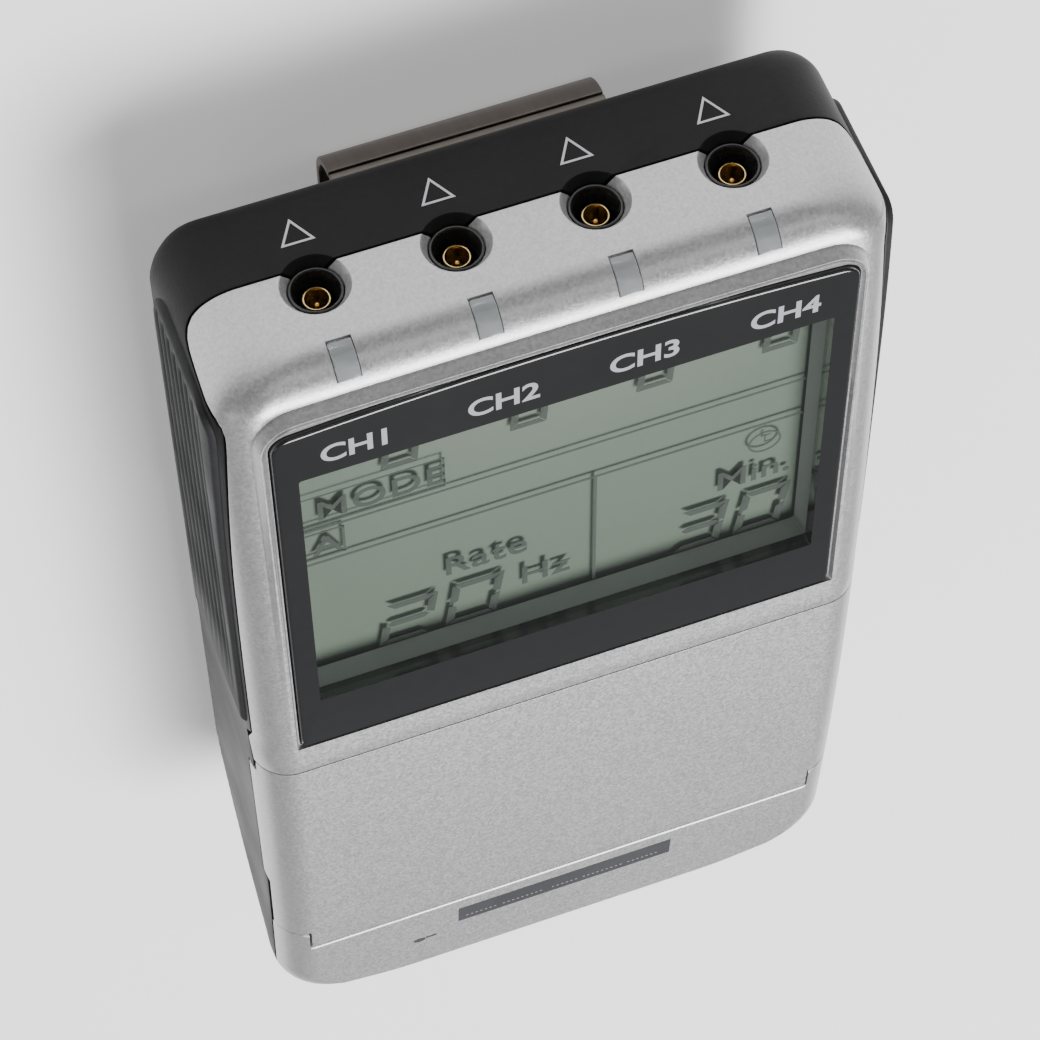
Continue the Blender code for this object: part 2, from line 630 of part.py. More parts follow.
door = add("battery_door", envelope(), PARTS, BLACK)
cut(door, envelope(1.8, 5, True), "hollow")
keep(door, box(-DOOR_HALF, DOOR_HALF, DOOR_LOW, DOOR_TOP, 0, 30), "outline")
smooth(door, 30)
for i, x in enumerate(CELL_X):
    way = 1 if i % 2 == 0 else -1
    mid = CELL_LOW + CELL_LEN / 2
    half = CELL_LEN / 2
    shape = [(0, half + 1.0), (2.6, half + 1.0), (2.6, half), (6.4, half), (CELL_R, half - 0.7)]
    shape += [(CELL_R, 0.5 - half), (6.6, -half), (0, -half)]
    if way < 0:
        shape = [(r, -h) for r, h in reversed(shape)]
    add(f"battery_{i + 1}", turned(shape, (x, mid, CELL_Z), "Y", 20), PARTS, CELL)
top_y = CELL_LOW + CELL_LEN + 1.0 + GAP
low_y = CELL_LOW - 1.0 - GAP


def contact(name, x0, x1, y):
    add(name, box(x0, x1, y, y + 0.5, 15.0, 25.4), PARTS, STEEL)


contact("contact_positive", CELL_X[0] - 5, CELL_X[0] + 5, top_y)
contact("contact_bridge_top", CELL_X[1] - 5, CELL_X[2] + 5, top_y)
contact("contact_negative", CELL_X[3] - 5, CELL_X[3] + 5, top_y)
contact("contact_bridge_left", CELL_X[0] - 5, CELL_X[1] + 5, low_y - 0.5)
contact("contact_bridge_right", CELL_X[2] - 5, CELL_X[3] + 5, low_y - 0.5)

# ---- belt clip ----

CLIP_Z = Z_BACK - GAP - BEND_R
RIM_Y = BEND_Y + BEND_R - CLIP_T / 2
turns_up = arc(BEND_Y, CLIP_Z, BEND_R, 90, 2.5, 8)
turns_back = arc(BEND_Y, CLIP_Z, BEND_R - CLIP_T, 2.5, 90, 8)
tongue = [(24, CLIP_Z + BEND_R)] + turns_up + turns_back + [(24, CLIP_Z + BEND_R - CLIP_T)]
clip_base = add("clip_tongue", plate(tongue, -CLIP_HALF, CLIP_HALF, "X"), PARTS, BRONZE)
cut(clip_base, rod(1.3, 5, 20, (0, 36, 0), "Z", 12), "screw_hole")
turns_down = arc(BEND_Y, CLIP_Z, BEND_R, -2.5, -90, 8)
turns_in = arc(BEND_Y, CLIP_Z, BEND_R - CLIP_T, -90, -2.5, 8)
arm = turns_down + [(ARM_END + 5, 0), (ARM_END, 1.6), (ARM_END + 0.6, 2.4), (ARM_END + 5.3, CLIP_T)]
arm += turns_in
clip_arm = add("clip_arm", plate(arm, -CLIP_HALF, CLIP_HALF, "X"), PARTS, BRONZE, (0, RIM_Y, CLIP_Z))
smooth(clip_base, 30)
smooth(clip_arm, 30)
screw_shape = [(0, 18.0), (0.95, 18.0), (0.95, 8.9), (2.4, 8.9), (2.4, 8.3), (1.6, 7.6), (0, 7.6)]
add("clip_screw", turned(screw_shape, (0, 36, 0), "Z", 14), PARTS, STEEL)
for i, (x, y, z) in enumerate(SCREWS):
    top = 31.6
    body = [(0, top), (1.15, top), (1.15, z + 1.6), (2.05, z + 1.6), (2.05, z + 0.2), (0, z + 0.2)]
    add(f"housing_screw_{i + 1}", turned(body, (x, y, 0), "Z", 14), PARTS, STEEL)
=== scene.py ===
import math

import bmesh
import bpy
import numpy as np
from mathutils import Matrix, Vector


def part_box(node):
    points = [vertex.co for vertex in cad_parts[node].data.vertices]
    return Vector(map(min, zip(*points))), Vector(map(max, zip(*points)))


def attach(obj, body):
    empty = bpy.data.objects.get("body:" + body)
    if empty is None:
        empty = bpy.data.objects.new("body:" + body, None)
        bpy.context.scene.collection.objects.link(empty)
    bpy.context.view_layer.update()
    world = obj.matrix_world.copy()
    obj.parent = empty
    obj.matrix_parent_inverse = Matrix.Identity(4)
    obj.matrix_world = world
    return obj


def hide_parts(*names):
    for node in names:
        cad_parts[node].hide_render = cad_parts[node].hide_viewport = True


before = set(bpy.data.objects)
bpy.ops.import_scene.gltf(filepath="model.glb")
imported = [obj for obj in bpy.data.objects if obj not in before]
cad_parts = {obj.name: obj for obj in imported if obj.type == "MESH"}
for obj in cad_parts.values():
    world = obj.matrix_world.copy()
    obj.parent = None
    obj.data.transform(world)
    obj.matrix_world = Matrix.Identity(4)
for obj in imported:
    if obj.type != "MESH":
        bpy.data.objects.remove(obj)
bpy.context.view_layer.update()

MM = 0.001
GAP = 0.3
PROUD = 0.03  # printing stands this far above the plastic


def limits(node):
    """Lowest and highest corner of a CAD node, in millimetres."""
    lo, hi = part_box(node)
    return [v / MM for v in lo], [v / MM for v in hi]


# ---- camera, light and floor ----

camera_data = bpy.data.cameras.new("camera")
camera_data.lens = 137.03
camera_data.sensor_width = 36.0
camera_data.clip_start = 0.01
camera = bpy.data.objects.new("camera", camera_data)
camera.location = (-0.08427, 0.41546, 0.25986)
camera.rotation_euler = [math.radians(a) for a in (-57.927, -20.049, -0.399)]
bpy.context.scene.collection.objects.link(camera)
bpy.context.scene.camera = camera


def area_light(name, place, target, size, watts, color=(1.0, 1.0, 1.0)):
    data = bpy.data.lights.new(name, "AREA")
    data.shape = "RECTANGLE"
    data.size = size[0]
    data.size_y = size[1]
    data.energy = watts
    data.color = color
    lamp = bpy.data.objects.new(name, data)
    lamp.location = place
    lamp.rotation_euler = (Vector(target) - Vector(place)).to_track_quat("-Z", "Y").to_euler()
    bpy.context.scene.collection.objects.link(lamp)


area_light("key", (0.28, -0.42, 1.2), (0, 0, 0.03), (0.7, 0.7), 33.0)
area_light("left", (-1.0, -0.1, 0.7), (0, 0, 0.03), (0.5, 0.5), 1.0)
area_light("edge", (0.22, 0.8, 0.78), (0, 0.03, 0.03), (1.0, 0.07), 1.1, (1.0, 0.985, 0.97))

world = bpy.data.worlds.new("studio")
bpy.context.scene.world = world
world.use_nodes = True
sky = world.node_tree.nodes["Background"].inputs
sky["Color"].default_value = (0.93, 0.95, 1.0, 1)
sky["Strength"].default_value = 0.16


# ---- material nodes ----


class Look:
    """A Principled material and short calls that add nodes to its tree."""

    def __init__(self, name, base, rough, metal=0.0, **constants):
        self.mat = bpy.data.materials.new(name)
        self.mat.use_nodes = True
        self.tree = self.mat.node_tree
        self.shader = self.tree.nodes["Principled BSDF"]
        self.base = base
        self.rough = rough
        self.set("Base Color", (*base, 1.0))
        self.set("Roughness", rough)
        self.set("Metallic", metal)
        for socket, value in constants.items():
            self.set(socket.replace("_", " "), value)
        self.coords = self.tree.nodes.new("ShaderNodeTexCoord").outputs["Object"]

    def set(self, socket, value):
        self.shader.inputs[socket].default_value = value

    def link(self, source, socket):
        self.tree.links.new(source, self.shader.inputs[socket])

    def add(self, kind, values=(), **settings):
        made = self.tree.nodes.new("ShaderNode" + kind)
        for key, value in settings.items():
            setattr(made, key, value)
        for key, value in dict(values).items():
            if isinstance(value, bpy.types.NodeSocket):
                self.tree.links.new(value, made.inputs[key])
            else:
                made.inputs[key].default_value = value
        return made

    def stretched(self, scale):
        return self.add("Mapping", {"Vector": self.coords, "Scale": scale}).outputs["Vector"]

    def noise(self, scale, detail=2.0, vector=None):
        values = {"Vector": vector or self.coords, "Scale": scale, "Detail": detail}
        return self.add("TexNoise", values).outputs["Fac"]

    def cells(self, scale, output="Color", vector=None):
        return self.add("TexVoronoi", {"Vector": vector or self.coords, "Scale": scale}).outputs[output]

    def math(self, operation, a, b):
        return self.add("Math", {0: a, 1: b}, operation=operation).outputs[0]

    def remap(self, value, lo, hi, new_lo, new_hi):
        values = {"Value": value, "From Min": lo, "From Max": hi, "To Min": new_lo, "To Max": new_hi}
        return self.add("MapRange", values).outputs["Result"]

    def ramp(self, value, stops):
        made = self.add("ValToRGB", {"Fac": value})
        line = made.color_ramp
        for i, (at, color) in enumerate(stops):
            stop = line.elements[i] if i < 2 else line.elements.new(at)
            stop.position = at
            stop.color = (*color, 1.0)
        return made.outputs["Color"]

    def shade(self, value, low, high):
        """The base colour, darkened or lightened between two factors as value goes from 0 to 1."""
        dark = [c * low for c in self.base]
        light = [min(1.0, c * high) for c in self.base]
        self.link(self.ramp(value, [(0.0, dark), (1.0, light)]), "Base Color")

    def bump(self, height, strength, distance, normal=None):
        values = {"Height": height, "Strength": strength, "Distance": distance * MM}
        if normal is not None:
            values["Normal"] = normal
        made = self.add("Bump", values).outputs["Normal"]
        self.link(made, "Normal")
        return made


def silver_paint():
    look = Look("silver_paint", (0.5, 0.497, 0.495), 0.36, 0.6, Coat_Weight=0.1, Coat_Roughness=0.25)
    flake = look.noise(2600, 1.0)
    glint = look.cells(3300)
    mixed = look.math("ADD", look.math("MULTIPLY", flake, 0.6), look.math("MULTIPLY", glint, 0.4))
    look.shade(look.remap(mixed, 0.3, 0.75, 0.0, 1.0), 0.86, 1.12)
    cloud = look.noise(45, 3.0)
    worn = look.math("ADD", look.math("MULTIPLY", cloud, 0.3), glint)
    look.link(look.remap(worn, 0.0, 1.3, 0.3, 0.46), "Roughness")
    look.bump(glint, 0.22, 0.03, look.bump(flake, 0.3, 0.05))
    return look.mat


def black_plastic():
    look = Look("black_plastic", (0.011, 0.0107, 0.0107), 0.52, 0.0, Specular_IOR_Level=0.15)
    grain = look.noise(2300, 3.0)
    look.shade(look.noise(900, 4.0), 0.8, 1.25)
    look.link(look.remap(look.noise(60, 3.0), 0.3, 0.7, 0.44, 0.56), "Roughness")
    look.bump(grain, 0.5, 0.05)
    return look.mat


def grip_rubber():
    look = Look("grip_rubber", (0.02, 0.0202, 0.0215), 0.6, 0.0, Specular_IOR_Level=0.25)
    look.shade(look.noise(700, 4.0), 0.8, 1.3)
    look.link(look.remap(look.noise(90, 3.0), 0.3, 0.7, 0.55, 0.7), "Roughness")
    look.bump(look.noise(1900, 3.0), 0.55, 0.06)
    return look.mat


def window_dark():
    look = Look("window_dark", (0.019, 0.0192, 0.0195), 0.1, 0.0, Coat_Weight=0.2, Coat_Roughness=0.05)
    dust = look.cells(240, "Distance")
    look.shade(look.noise(500, 4.0), 0.92, 1.1)
    look.link(look.remap(look.noise(30, 3.0), 0.3, 0.7, 0.07, 0.16), "Roughness")
    look.bump(dust, 0.02, 0.02)
    return look.mat


def window_clear():
    """A thin clear pane: what is behind shows through, under the gloss of its surface."""
    look = Look("window_clear", (0.95, 0.97, 0.95), 0.03)
    gloss = look.add("BsdfGlossy", {"Roughness": 0.04, "Color": (1, 1, 1, 1)}).outputs["BSDF"]
    clear = look.add("BsdfTransparent", {"Color": (0.93, 0.95, 0.93, 1)}).outputs["BSDF"]
    smear = look.remap(look.noise(25, 4.0), 0.3, 0.75, 0.035, 0.06)
    facing = look.add("LayerWeight", {"Blend": 0.5}).outputs["Facing"]
    rise = look.math("MULTIPLY", look.math("POWER", facing, 4.0), 0.5)
    mix = look.add("MixShader", {0: look.math("ADD", smear, rise)})
    look.tree.links.new(clear, mix.inputs[1])
    look.tree.links.new(gloss, mix.inputs[2])
    look.tree.links.new(mix.outputs[0], look.tree.nodes["Material Output"].inputs["Surface"])
    return look.mat


def lcd_panel():
    look = Look("lcd_panel", (0.18, 0.212, 0.178), 0.42, 0.0, Specular_IOR_Level=0.35)
    look.shade(look.noise(1500, 2.0), 0.95, 1.05)
    look.link(look.remap(look.noise(20, 2.0), 0.3, 0.7, 0.36, 0.46), "Roughness")
    look.bump(look.noise(2600, 2.0), 0.12, 0.02)
    return look.mat


def lcd_ink(name, base, alpha):
    look = Look(name, base, 0.4)
    look.set("Alpha", alpha)
    look.shade(look.noise(800, 2.0), 0.9, 1.1)
    return look.mat


def well_grey():
    look = Look("well_grey", (0.33, 0.34, 0.335), 0.5)
    look.shade(look.noise(900, 3.0), 0.94, 1.06)
    look.bump(look.noise(1500, 2.0), 0.2, 0.03)
    return look.mat


def frosted_clear():
    look = Look("frosted_clear", (0.62, 0.65, 0.66), 0.16, 0.0, Transmission_Weight=0.55, IOR=1.45)
    look.shade(look.noise(420, 3.0), 0.85, 1.1)
    look.bump(look.noise(1400, 3.0), 0.35, 0.05)
    return look.mat


def led_lens():
    look = Look("led_lens", (0.42, 0.58, 0.22), 0.25, 0.0, Transmission_Weight=0.3)
    look.shade(look.noise(900, 2.0), 0.85, 1.15)
    return look.mat


def socket_plastic():
    look = Look("socket_plastic", (0.014, 0.014, 0.014), 0.28)
    look.shade(look.noise(800, 3.0), 0.8, 1.3)
    look.link(look.remap(look.noise(300, 3.0), 0.3, 0.7, 0.22, 0.36), "Roughness")
    look.bump(look.noise(1200, 2.0), 0.12, 0.03)
    return look.mat


def plated(name, base, rough):
    look = Look(name, base, rough, 1.0)
    look.shade(look.noise(700, 4.0), 0.85, 1.12)
    look.link(look.remap(look.noise(400, 4.0), 0.3, 0.7, rough * 0.75, rough * 1.4), "Roughness")
    look.bump(look.noise(900, 3.0), 0.1, 0.02)
    return look.mat


def clip_steel():
    look = Look("clip_steel", (0.19, 0.168, 0.15), 0.36, 1.0)
    grain = look.noise(900, 3.0, look.stretched((1.0, 0.04, 0.04)))
    drawn = look.noise(1500, 3.0, look.stretched((0.05, 1.0, 1.0)))
    look.shade(look.math("MULTIPLY", look.math("ADD", grain, drawn), 0.5), 0.72, 1.25)
    look.link(look.remap(drawn, 0.3, 0.7, 0.3, 0.46), "Roughness")
    look.bump(drawn, 0.25, 0.02)
    return look.mat


def plain_moulding(name, base, rough, grain=1200, depth=0.05, spread=0.12):
    look = Look(name, base, rough)
    look.shade(look.noise(600, 4.0), 1 - spread, 1 + spread)
    look.link(look.remap(look.noise(80, 3.0), 0.3, 0.7, rough * 0.88, rough * 1.12), "Roughness")
    look.bump(look.noise(grain, 3.0), 0.4, depth)
    return look.mat


def circuit_board():
    look = Look("circuit_board", (0.02, 0.16, 0.06), 0.42, 0.0, Coat_Weight=0.3)
    tracks = look.cells(420, "Distance", look.stretched((1.0, 0.35, 1.0)))
    greens = [(0.0, (0.03, 0.24, 0.09)), (0.35, (0.02, 0.15, 0.055)), (1.0, (0.015, 0.1, 0.04))]
    look.link(look.ramp(tracks, greens), "Base Color")
    look.bump(tracks, 0.3, 0.05)
    return look.mat


def cell_wrap():
    look = Look("cell_wrap", (0.1, 0.11, 0.13), 0.32, 0.45)
    along = look.add("SeparateXYZ", {"Vector": look.coords}).outputs["Y"]
    band = look.remap(look.math("ABSOLUTE", look.math("ADD", along, 0.0193), 0.0), 0.0145, 0.0149, 0.0, 1.0)
    look.link(look.ramp(band, [(0.0, (0.055, 0.06, 0.07)), (1.0, (0.55, 0.33, 0.12))]), "Base Color")
    look.link(look.remap(look.noise(200, 3.0), 0.3, 0.7, 0.25, 0.4), "Roughness")
    look.bump(look.noise(300, 2.0), 0.08, 0.04)
    return look.mat


SILVER = silver_paint()
BLACK = black_plastic()
RUBBER = grip_rubber()
DARK = window_dark()
CLEAR = window_clear()
LCD = lcd_panel()
INK = lcd_ink("lcd_segment", (0.075, 0.085, 0.078), 0.72)
LINE_INK = lcd_ink("lcd_line", (0.09, 0.1, 0.09), 0.7)
WELL = well_grey()
FROST = frosted_clear()
LENS = led_lens()
SOCKET = socket_plastic()
GOLD = plated("gold_contact", (0.83, 0.6, 0.25), 0.22)
STEEL = plated("plated_steel", (0.55, 0.54, 0.52), 0.3)
CLIP = clip_steel()
PRINT = plain_moulding("print_white", (0.36, 0.36, 0.4), 0.5, 1500, 0.01, 0.06)
MARK = plain_moulding("print_mark", (0.6, 0.6, 0.63), 0.5, 1500, 0.01, 0.06)
KEYS = plain_moulding("key_grey", (0.13, 0.13, 0.14), 0.55)
KEY_MARK = plain_moulding("key_mark", (0.6, 0.6, 0.6), 0.5)
SILICONE = plain_moulding("keypad_rubber", (0.3, 0.3, 0.31), 0.7)
BOARD = circuit_board()
FERRITE = plain_moulding("transformer_case", (0.05, 0.045, 0.04), 0.5, 700, 0.1)
CELL = cell_wrap()
LABEL = plain_moulding("label_dark", (0.05, 0.05, 0.055), 0.35, 900, 0.02)
FLOOR = plain_moulding("floor_pale", (0.95, 0.95, 0.95), 0.8, 300, 0.02, 0.01)
floor_inputs = FLOOR.node_tree.nodes["Principled BSDF"].inputs
floor_inputs["Emission Color"].default_value = (1, 1, 1, 1)
floor_inputs["Emission Strength"].default_value = 0.35

# ---- mesh helpers ----


def obj_from(name, mesh, mat, body=None, replaces=()):
    obj = bpy.data.objects.new(name, mesh)
    bpy.context.scene.collection.objects.link(obj)
    if mat is not None:
        mesh.materials.clear()
        mesh.materials.append(mat)
    if body:
        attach(obj, body)
        if replaces:
            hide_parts(*replaces)
    return obj


def mesh_of(form):
    mesh = bpy.data.meshes.new("mesh")
    form.to_mesh(mesh)
    form.free()
    return mesh


def verts_of(form, rows):
    return [[form.verts.new(Vector(p) * MM) for p in row] for row in rows]


def grid_mesh(rows, ends=(), flip=False):
    """An open sheet through rows of points in millimetres; ends lists (row, way along y) pairs to fill."""
    form = bmesh.new()
    made = verts_of(form, rows)
    for low, high in zip(made, made[1:]):
        for i in range(len(low) - 1):
            quad = (low[i], low[i + 1], high[i + 1], high[i])
            form.faces.new(quad[::-1] if flip else quad)
    for row, way in ends:
        cap = form.faces.new(made[row])
        cap.normal_update()
        if cap.normal.y * way < 0:
            cap.normal_flip()
    return mesh_of(form)


def bridge(form, pairs):
    for a, b in pairs:
        for i in range(len(a)):
            j = (i + 1) % len(a)
            form.faces.new((a[i], a[j], b[j], b[i]))


def grid_closed(rings):
    """A closed skin that goes round through rings of points and back to the first one."""
    form = bmesh.new()
    made = verts_of(form, rings)
    bridge(form, zip(made, made[1:] + made[:1]))
    bmesh.ops.recalc_face_normals(form, faces=form.faces)
    return mesh_of(form)


def loft(rings):
    """A closed solid through rings of points, with both ends filled."""
    form = bmesh.new()
    made = verts_of(form, rings)
    bridge(form, zip(made, made[1:]))
    form.faces.new(made[0][::-1])
    form.faces.new(made[-1])
    bmesh.ops.recalc_face_normals(form, faces=form.faces)
    return mesh_of(form)


def box(x0, x1, y0, y1, z0, z1, edge=0.0):
    form = bmesh.new()
    bmesh.ops.create_cube(form, size=1.0)
    bmesh.ops.scale(form, vec=Vector((x1 - x0, y1 - y0, z1 - z0)) * MM, verts=form.verts)
    centre = Vector((x0 + x1, y0 + y1, z0 + z1)) * (MM / 2)
    bmesh.ops.translate(form, vec=centre, verts=form.verts)
    if edge:
        bmesh.ops.bevel(form, geom=form.edges[:], offset=edge * MM, segments=3, affect="EDGES", profile=0.5)
    return mesh_of(form)


def curve(cx, cy, radius, start, end, count):
    """Points along an arc, from one angle in degrees to another."""
    angles = [math.radians(start + (end - start) * i / count) for i in range(count + 1)]
    return [(cx + radius * math.cos(a), cy + radius * math.sin(a)) for a in angles]


def ellipse(cx, cy, half_x, half_y, count):
    angles = [2 * math.pi * i / count for i in range(count)]
    return [(cx + half_x * math.cos(a), cy + half_y * math.sin(a)) for a in angles]


def at_z(outline, z):
    return [(x, y, z) for x, y in outline]


def plate(outline, lo, hi, axis="Z"):
    """A flat outline with thickness from lo to hi along this axis."""
    if axis == "X":
        return loft([[(t, a, b) for a, b in outline] for t in (lo, hi)])
    return loft([at_z(outline, lo), at_z(outline, hi)])


def slab(xs, ys, lo_fn, hi_fn):
    """A closed slab over a plan grid, between two surfaces."""
    form = bmesh.new()
    low = [[form.verts.new(Vector((x, y, lo_fn(x, y))) * MM) for x in xs] for y in ys]
    top = [[form.verts.new(Vector((x, y, hi_fn(x, y))) * MM) for x in xs] for y in ys]
    for i in range(len(ys) - 1):
        for j in range(len(xs) - 1):
            form.faces.new((low[i][j], low[i + 1][j], low[i + 1][j + 1], low[i][j + 1]))
            form.faces.new((top[i][j], top[i][j + 1], top[i + 1][j + 1], top[i + 1][j]))
    for i in range(len(ys) - 1):
        form.faces.new((low[i][0], top[i][0], top[i + 1][0], low[i + 1][0]))
        form.faces.new((low[i + 1][-1], top[i + 1][-1], top[i][-1], low[i][-1]))
    for j in range(len(xs) - 1):
        form.faces.new((low[0][j + 1], top[0][j + 1], top[0][j], low[0][j]))
        form.faces.new((low[-1][j], top[-1][j], top[-1][j + 1], low[-1][j + 1]))
    bmesh.ops.recalc_face_normals(form, faces=form.faces)
    return mesh_of(form)


def turned(profile, centre, axis="Z", steps=48):
    """A turned solid from (radius, height) pairs; a profile that ends where it began gives a ring."""
    closed = profile[0] == profile[-1]
    rings = []
    for radius, height in profile[:-1] if closed else profile:
        ring = []
        for i in range(steps):
            a = 2 * math.pi * i / steps
            u, v = max(radius, 0.004) * math.cos(a), max(radius, 0.004) * math.sin(a)
            at = {"Z": (u, v, height), "Y": (v, height, u), "X": (height, u, v)}[axis]
            ring.append([c + d for c, d in zip(centre, at)])
        rings.append(ring)
    return grid_closed(rings) if closed else loft(rings)


def joined(*meshes):
    form = bmesh.new()
    for mesh in meshes:
        form.from_mesh(mesh)
    return mesh_of(form)


def baked(obj):
    """The mesh of obj as it is evaluated; obj goes."""
    bpy.context.view_layer.update()
    graph = bpy.context.evaluated_depsgraph_get()
    mesh = bpy.data.meshes.new_from_object(obj.evaluated_get(graph), depsgraph=graph)
    mesh.transform(obj.matrix_world)
    bpy.data.objects.remove(obj, do_unlink=True)
    return mesh


def modified(mesh, *steps):
    """The mesh after these modifiers: (type, settings) pairs, or ("DIFFERENCE" or "UNION", mesh)."""
    obj = obj_from("work", mesh, None)
    tools = []
    for kind, values in steps:
        if kind in ("DIFFERENCE", "UNION"):
            mod = obj.modifiers.new("boolean", "BOOLEAN")
            mod.operation = kind
            mod.solver = "EXACT"
            mod.object = obj_from("tool", values, None)
            tools.append(mod.object)
            continue
        mod = obj.modifiers.new(kind, kind)
        for key, value in values.items():
            setattr(mod, key, value)
    out = baked(obj)
    for tool in tools:
        bpy.data.objects.remove(tool, do_unlink=True)
    return out


def solidify(thickness):
    values = {"thickness": thickness * MM, "offset": -1.0, "use_even_offset": True, "use_rim": True}
    return ("SOLIDIFY", values)


def bevel(width, angle=50, segments=3):
    values = {"width": width * MM, "segments": segments, "limit_method": "ANGLE"}
    values["angle_limit"] = math.radians(angle)
    return ("BEVEL", values)


def smooth(mesh, degrees=32):
    mesh.shade_smooth()
    mesh.set_sharp_from_angle(angle=math.radians(degrees))
    return mesh


# ---- the housing's form ----

FRONT = limits("front_housing")
REAR = limits("rear_housing")
HALF_W = FRONT[1][0] - PROUD
Y_TOP = FRONT[1][1] - PROUD
Y_BOT = REAR[0][1] + PROUD
Z_FRONT = FRONT[1][2]
Z_BACK = REAR[0][2]
COVER = limits("flip_cover")
DOOR = limits("battery_door")
PANE = limits("display_window")
GLASS = limits("lcd_glass")
CHANNELS = [sum(c[0] for c in limits(f"lead_jack_{i}")) / 2 for i in range(1, 5)]
JACK_Z = (limits("lead_jack_1")[0][2] + limits("lead_jack_1")[1][2]) / 2

# radii of the outline's corners, and of the bow of its lower end
CORNER_TOP = 7.5
CORNER_BOT = 9.0
BOTTOM_BOW_R = 175.0
# radii of the rounded edges
EDGE_SIDE = 5.0
EDGE_TOP = 4.6
EDGE_BOTTOM = 2.2
EDGE_BACK = 2.8
EDGE_BACK_LOW = 14.0
# where the front's crown starts, and its radii above and below
CROWN_Y = 6.9
CROWN_UP = 990.0
CROWN_LOW = 790.0
# the back's sweep up to the lower end
SWEEP_Y = -40.0
SWEEP_RISE = 19.0
# the parting line: (y, height) down the side and round to the end face
PART_SIDE_Z = 34.7
SKIRT = 3.4
SIDE_CORNER = [(3.4, 34.7), (40, 34.7), (58, 34.9), (65.5, 34.9), (67.2, 34.78), (68.4, 34.4)]
SIDE_CORNER += [(69.3, 33.6), (69.85, 32.4), (70.1, 31.0), (70.3, 28.0), (70.55, 25.4), (70.9, 24.0)]
SIDE_CORNER += [(71.5, 23.0), (72.3, 22.4), (73.2, 22.15), (74.0, 22.1), (80.0, 22.1)]
SEAM_Y = COVER[1][1] + GAP
HINGE_Y = -52.5
HINGE_Z = 34.25
DECK_Z = 33.6
LUG_X = 35.1
EAR = (-36.6, -6.5, 32.3)  # the cover's ears: from, to and lowest height
VIEW_HALF_X = 30.9
VIEW_HALF_Y = 23.75
VIEW_Y = (GLASS[0][1] + GLASS[1][1]) / 2


def fall(depth, radius):
    """How far a rounded edge stands back at this depth from its end."""
    if radius <= 0 or depth >= radius:
        return 0.0
    return radius - math.sqrt(max(0.0, radius**2 - (radius - max(depth, 0.0)) ** 2))


def front_z(y):
    if y > CROWN_Y:
        return Z_FRONT - (y - CROWN_Y) ** 2 / (2 * CROWN_UP)
    if y < 0:
        return Z_FRONT - y * y / (2 * CROWN_LOW)
    return Z_FRONT


def back_z(y, inset=0.0):
    run = SWEEP_Y - Y_BOT - inset
    u = min(1.0, max(0.0, (SWEEP_Y - y) / run))
    return Z_BACK + inset + (SWEEP_RISE - inset) * (1 - math.sqrt(1 - u * u))


def end_half_width(depth):
    bow_x = HALF_W - CORNER_BOT
    bow = bow_x**2 / (2 * BOTTOM_BOW_R)
    if depth < bow:
        return math.sqrt(2 * BOTTOM_BOW_R * max(depth, 0.0))
    u = min(1.0, (depth - bow) / (CORNER_BOT - 0.6))
    return bow_x + CORNER_BOT * math.sqrt(1 - (1 - u) ** 2)


def form_at(y, inset=0.0):
    """Half width, front and back height, and the front and back edge radii at this y."""
    top = Y_TOP - inset - y
    low = y - Y_BOT - inset
    half = HALF_W - inset - fall(top, CORNER_TOP - inset)
    half = min(half, max(2.0, end_half_width(low) - inset))
    high = front_z(y) - inset - fall(top, EDGE_TOP - inset) - fall(low, EDGE_BOTTOM - inset)
    base = back_z(y, inset) + fall(top, max(EDGE_BACK - inset, 0.5))
    share = min(1.0, max(0.0, (-34.0 - y) / 28.0))
    r_front = max(EDGE_SIDE - inset, 0.5)
    r_back = max(EDGE_BACK + share * (EDGE_BACK_LOW - EDGE_BACK) - inset, 0.5)
    limit = min(1.0, (high - base) * 0.96 / (r_front + r_back))
    return half, high, base, min(r_front * limit, half * 0.9), min(r_back * limit, half * 0.9)


def side_line(y, inset=0.0, turns=24):
    """The right side's outline from the front's edge round to the back's edge, as an array of (x, z)."""
    half, high, base, r_front, r_back = form_at(y, inset)
    pts = []
    for k in range(turns + 1):
        a = math.pi / 2 * k / turns
        pts.append((half - r_front + r_front * math.sin(a), high - r_front + r_front * math.cos(a)))
    for k in range(turns + 1):
        a = math.pi / 2 * k / turns
        pts.append((half - r_back + r_back * math.cos(a), base + r_back - r_back * math.sin(a)))
    return np.array(pts)


def along(line, start, end, count):
    """Points at even steps along a polyline between two of its heights."""
    steps = np.r_[0, np.cumsum(np.hypot(*np.diff(line, axis=0).T))]
    down = -line[:, 1]
    s0 = np.interp(-start, down, steps)
    s1 = np.interp(-end, down, steps)
    s = np.linspace(s0, s1, count)
    return np.c_[np.interp(s, steps, line[:, 0]), np.interp(s, steps, line[:, 1])]


def both_sides(y, side, flat_x, flat_z, count):
    """A whole row: the right side's points, the flat across, and the left side's points."""
    right = [(x, y, z) for x, z in side]
    across = [(flat_x * (1 - 2 * i / count), y, flat_z) for i in range(1, count)]
    left = [(-x, y, z) for x, z in side[::-1]]
    return right + across + left


def upper_row(y, low, inset=0.0, n_side=22, n_flat=30):
    line = side_line(y, inset)
    high = line[0, 1]
    side = along(line, min(low, high - 0.03), high, n_side)
    return both_sides(y, side, line[0, 0], high, n_flat)


def lower_row(y, low, inset=0.0, n_side=30, n_flat=30):
    line = side_line(y, inset)
    base = line[-1, 1]
    side = along(line, min(max(low, base + 0.03), line[0, 1] - 0.02), base, n_side)
    return both_sides(y, side, line[-1, 0], base, n_flat)


def rounding(end, radius, count, way):
    """Positions that step finely round an edge of this radius, from the end inwards."""
    return [end + way * radius * (1 - math.cos(math.pi / 2 * k / count)) for k in range(count + 1)]


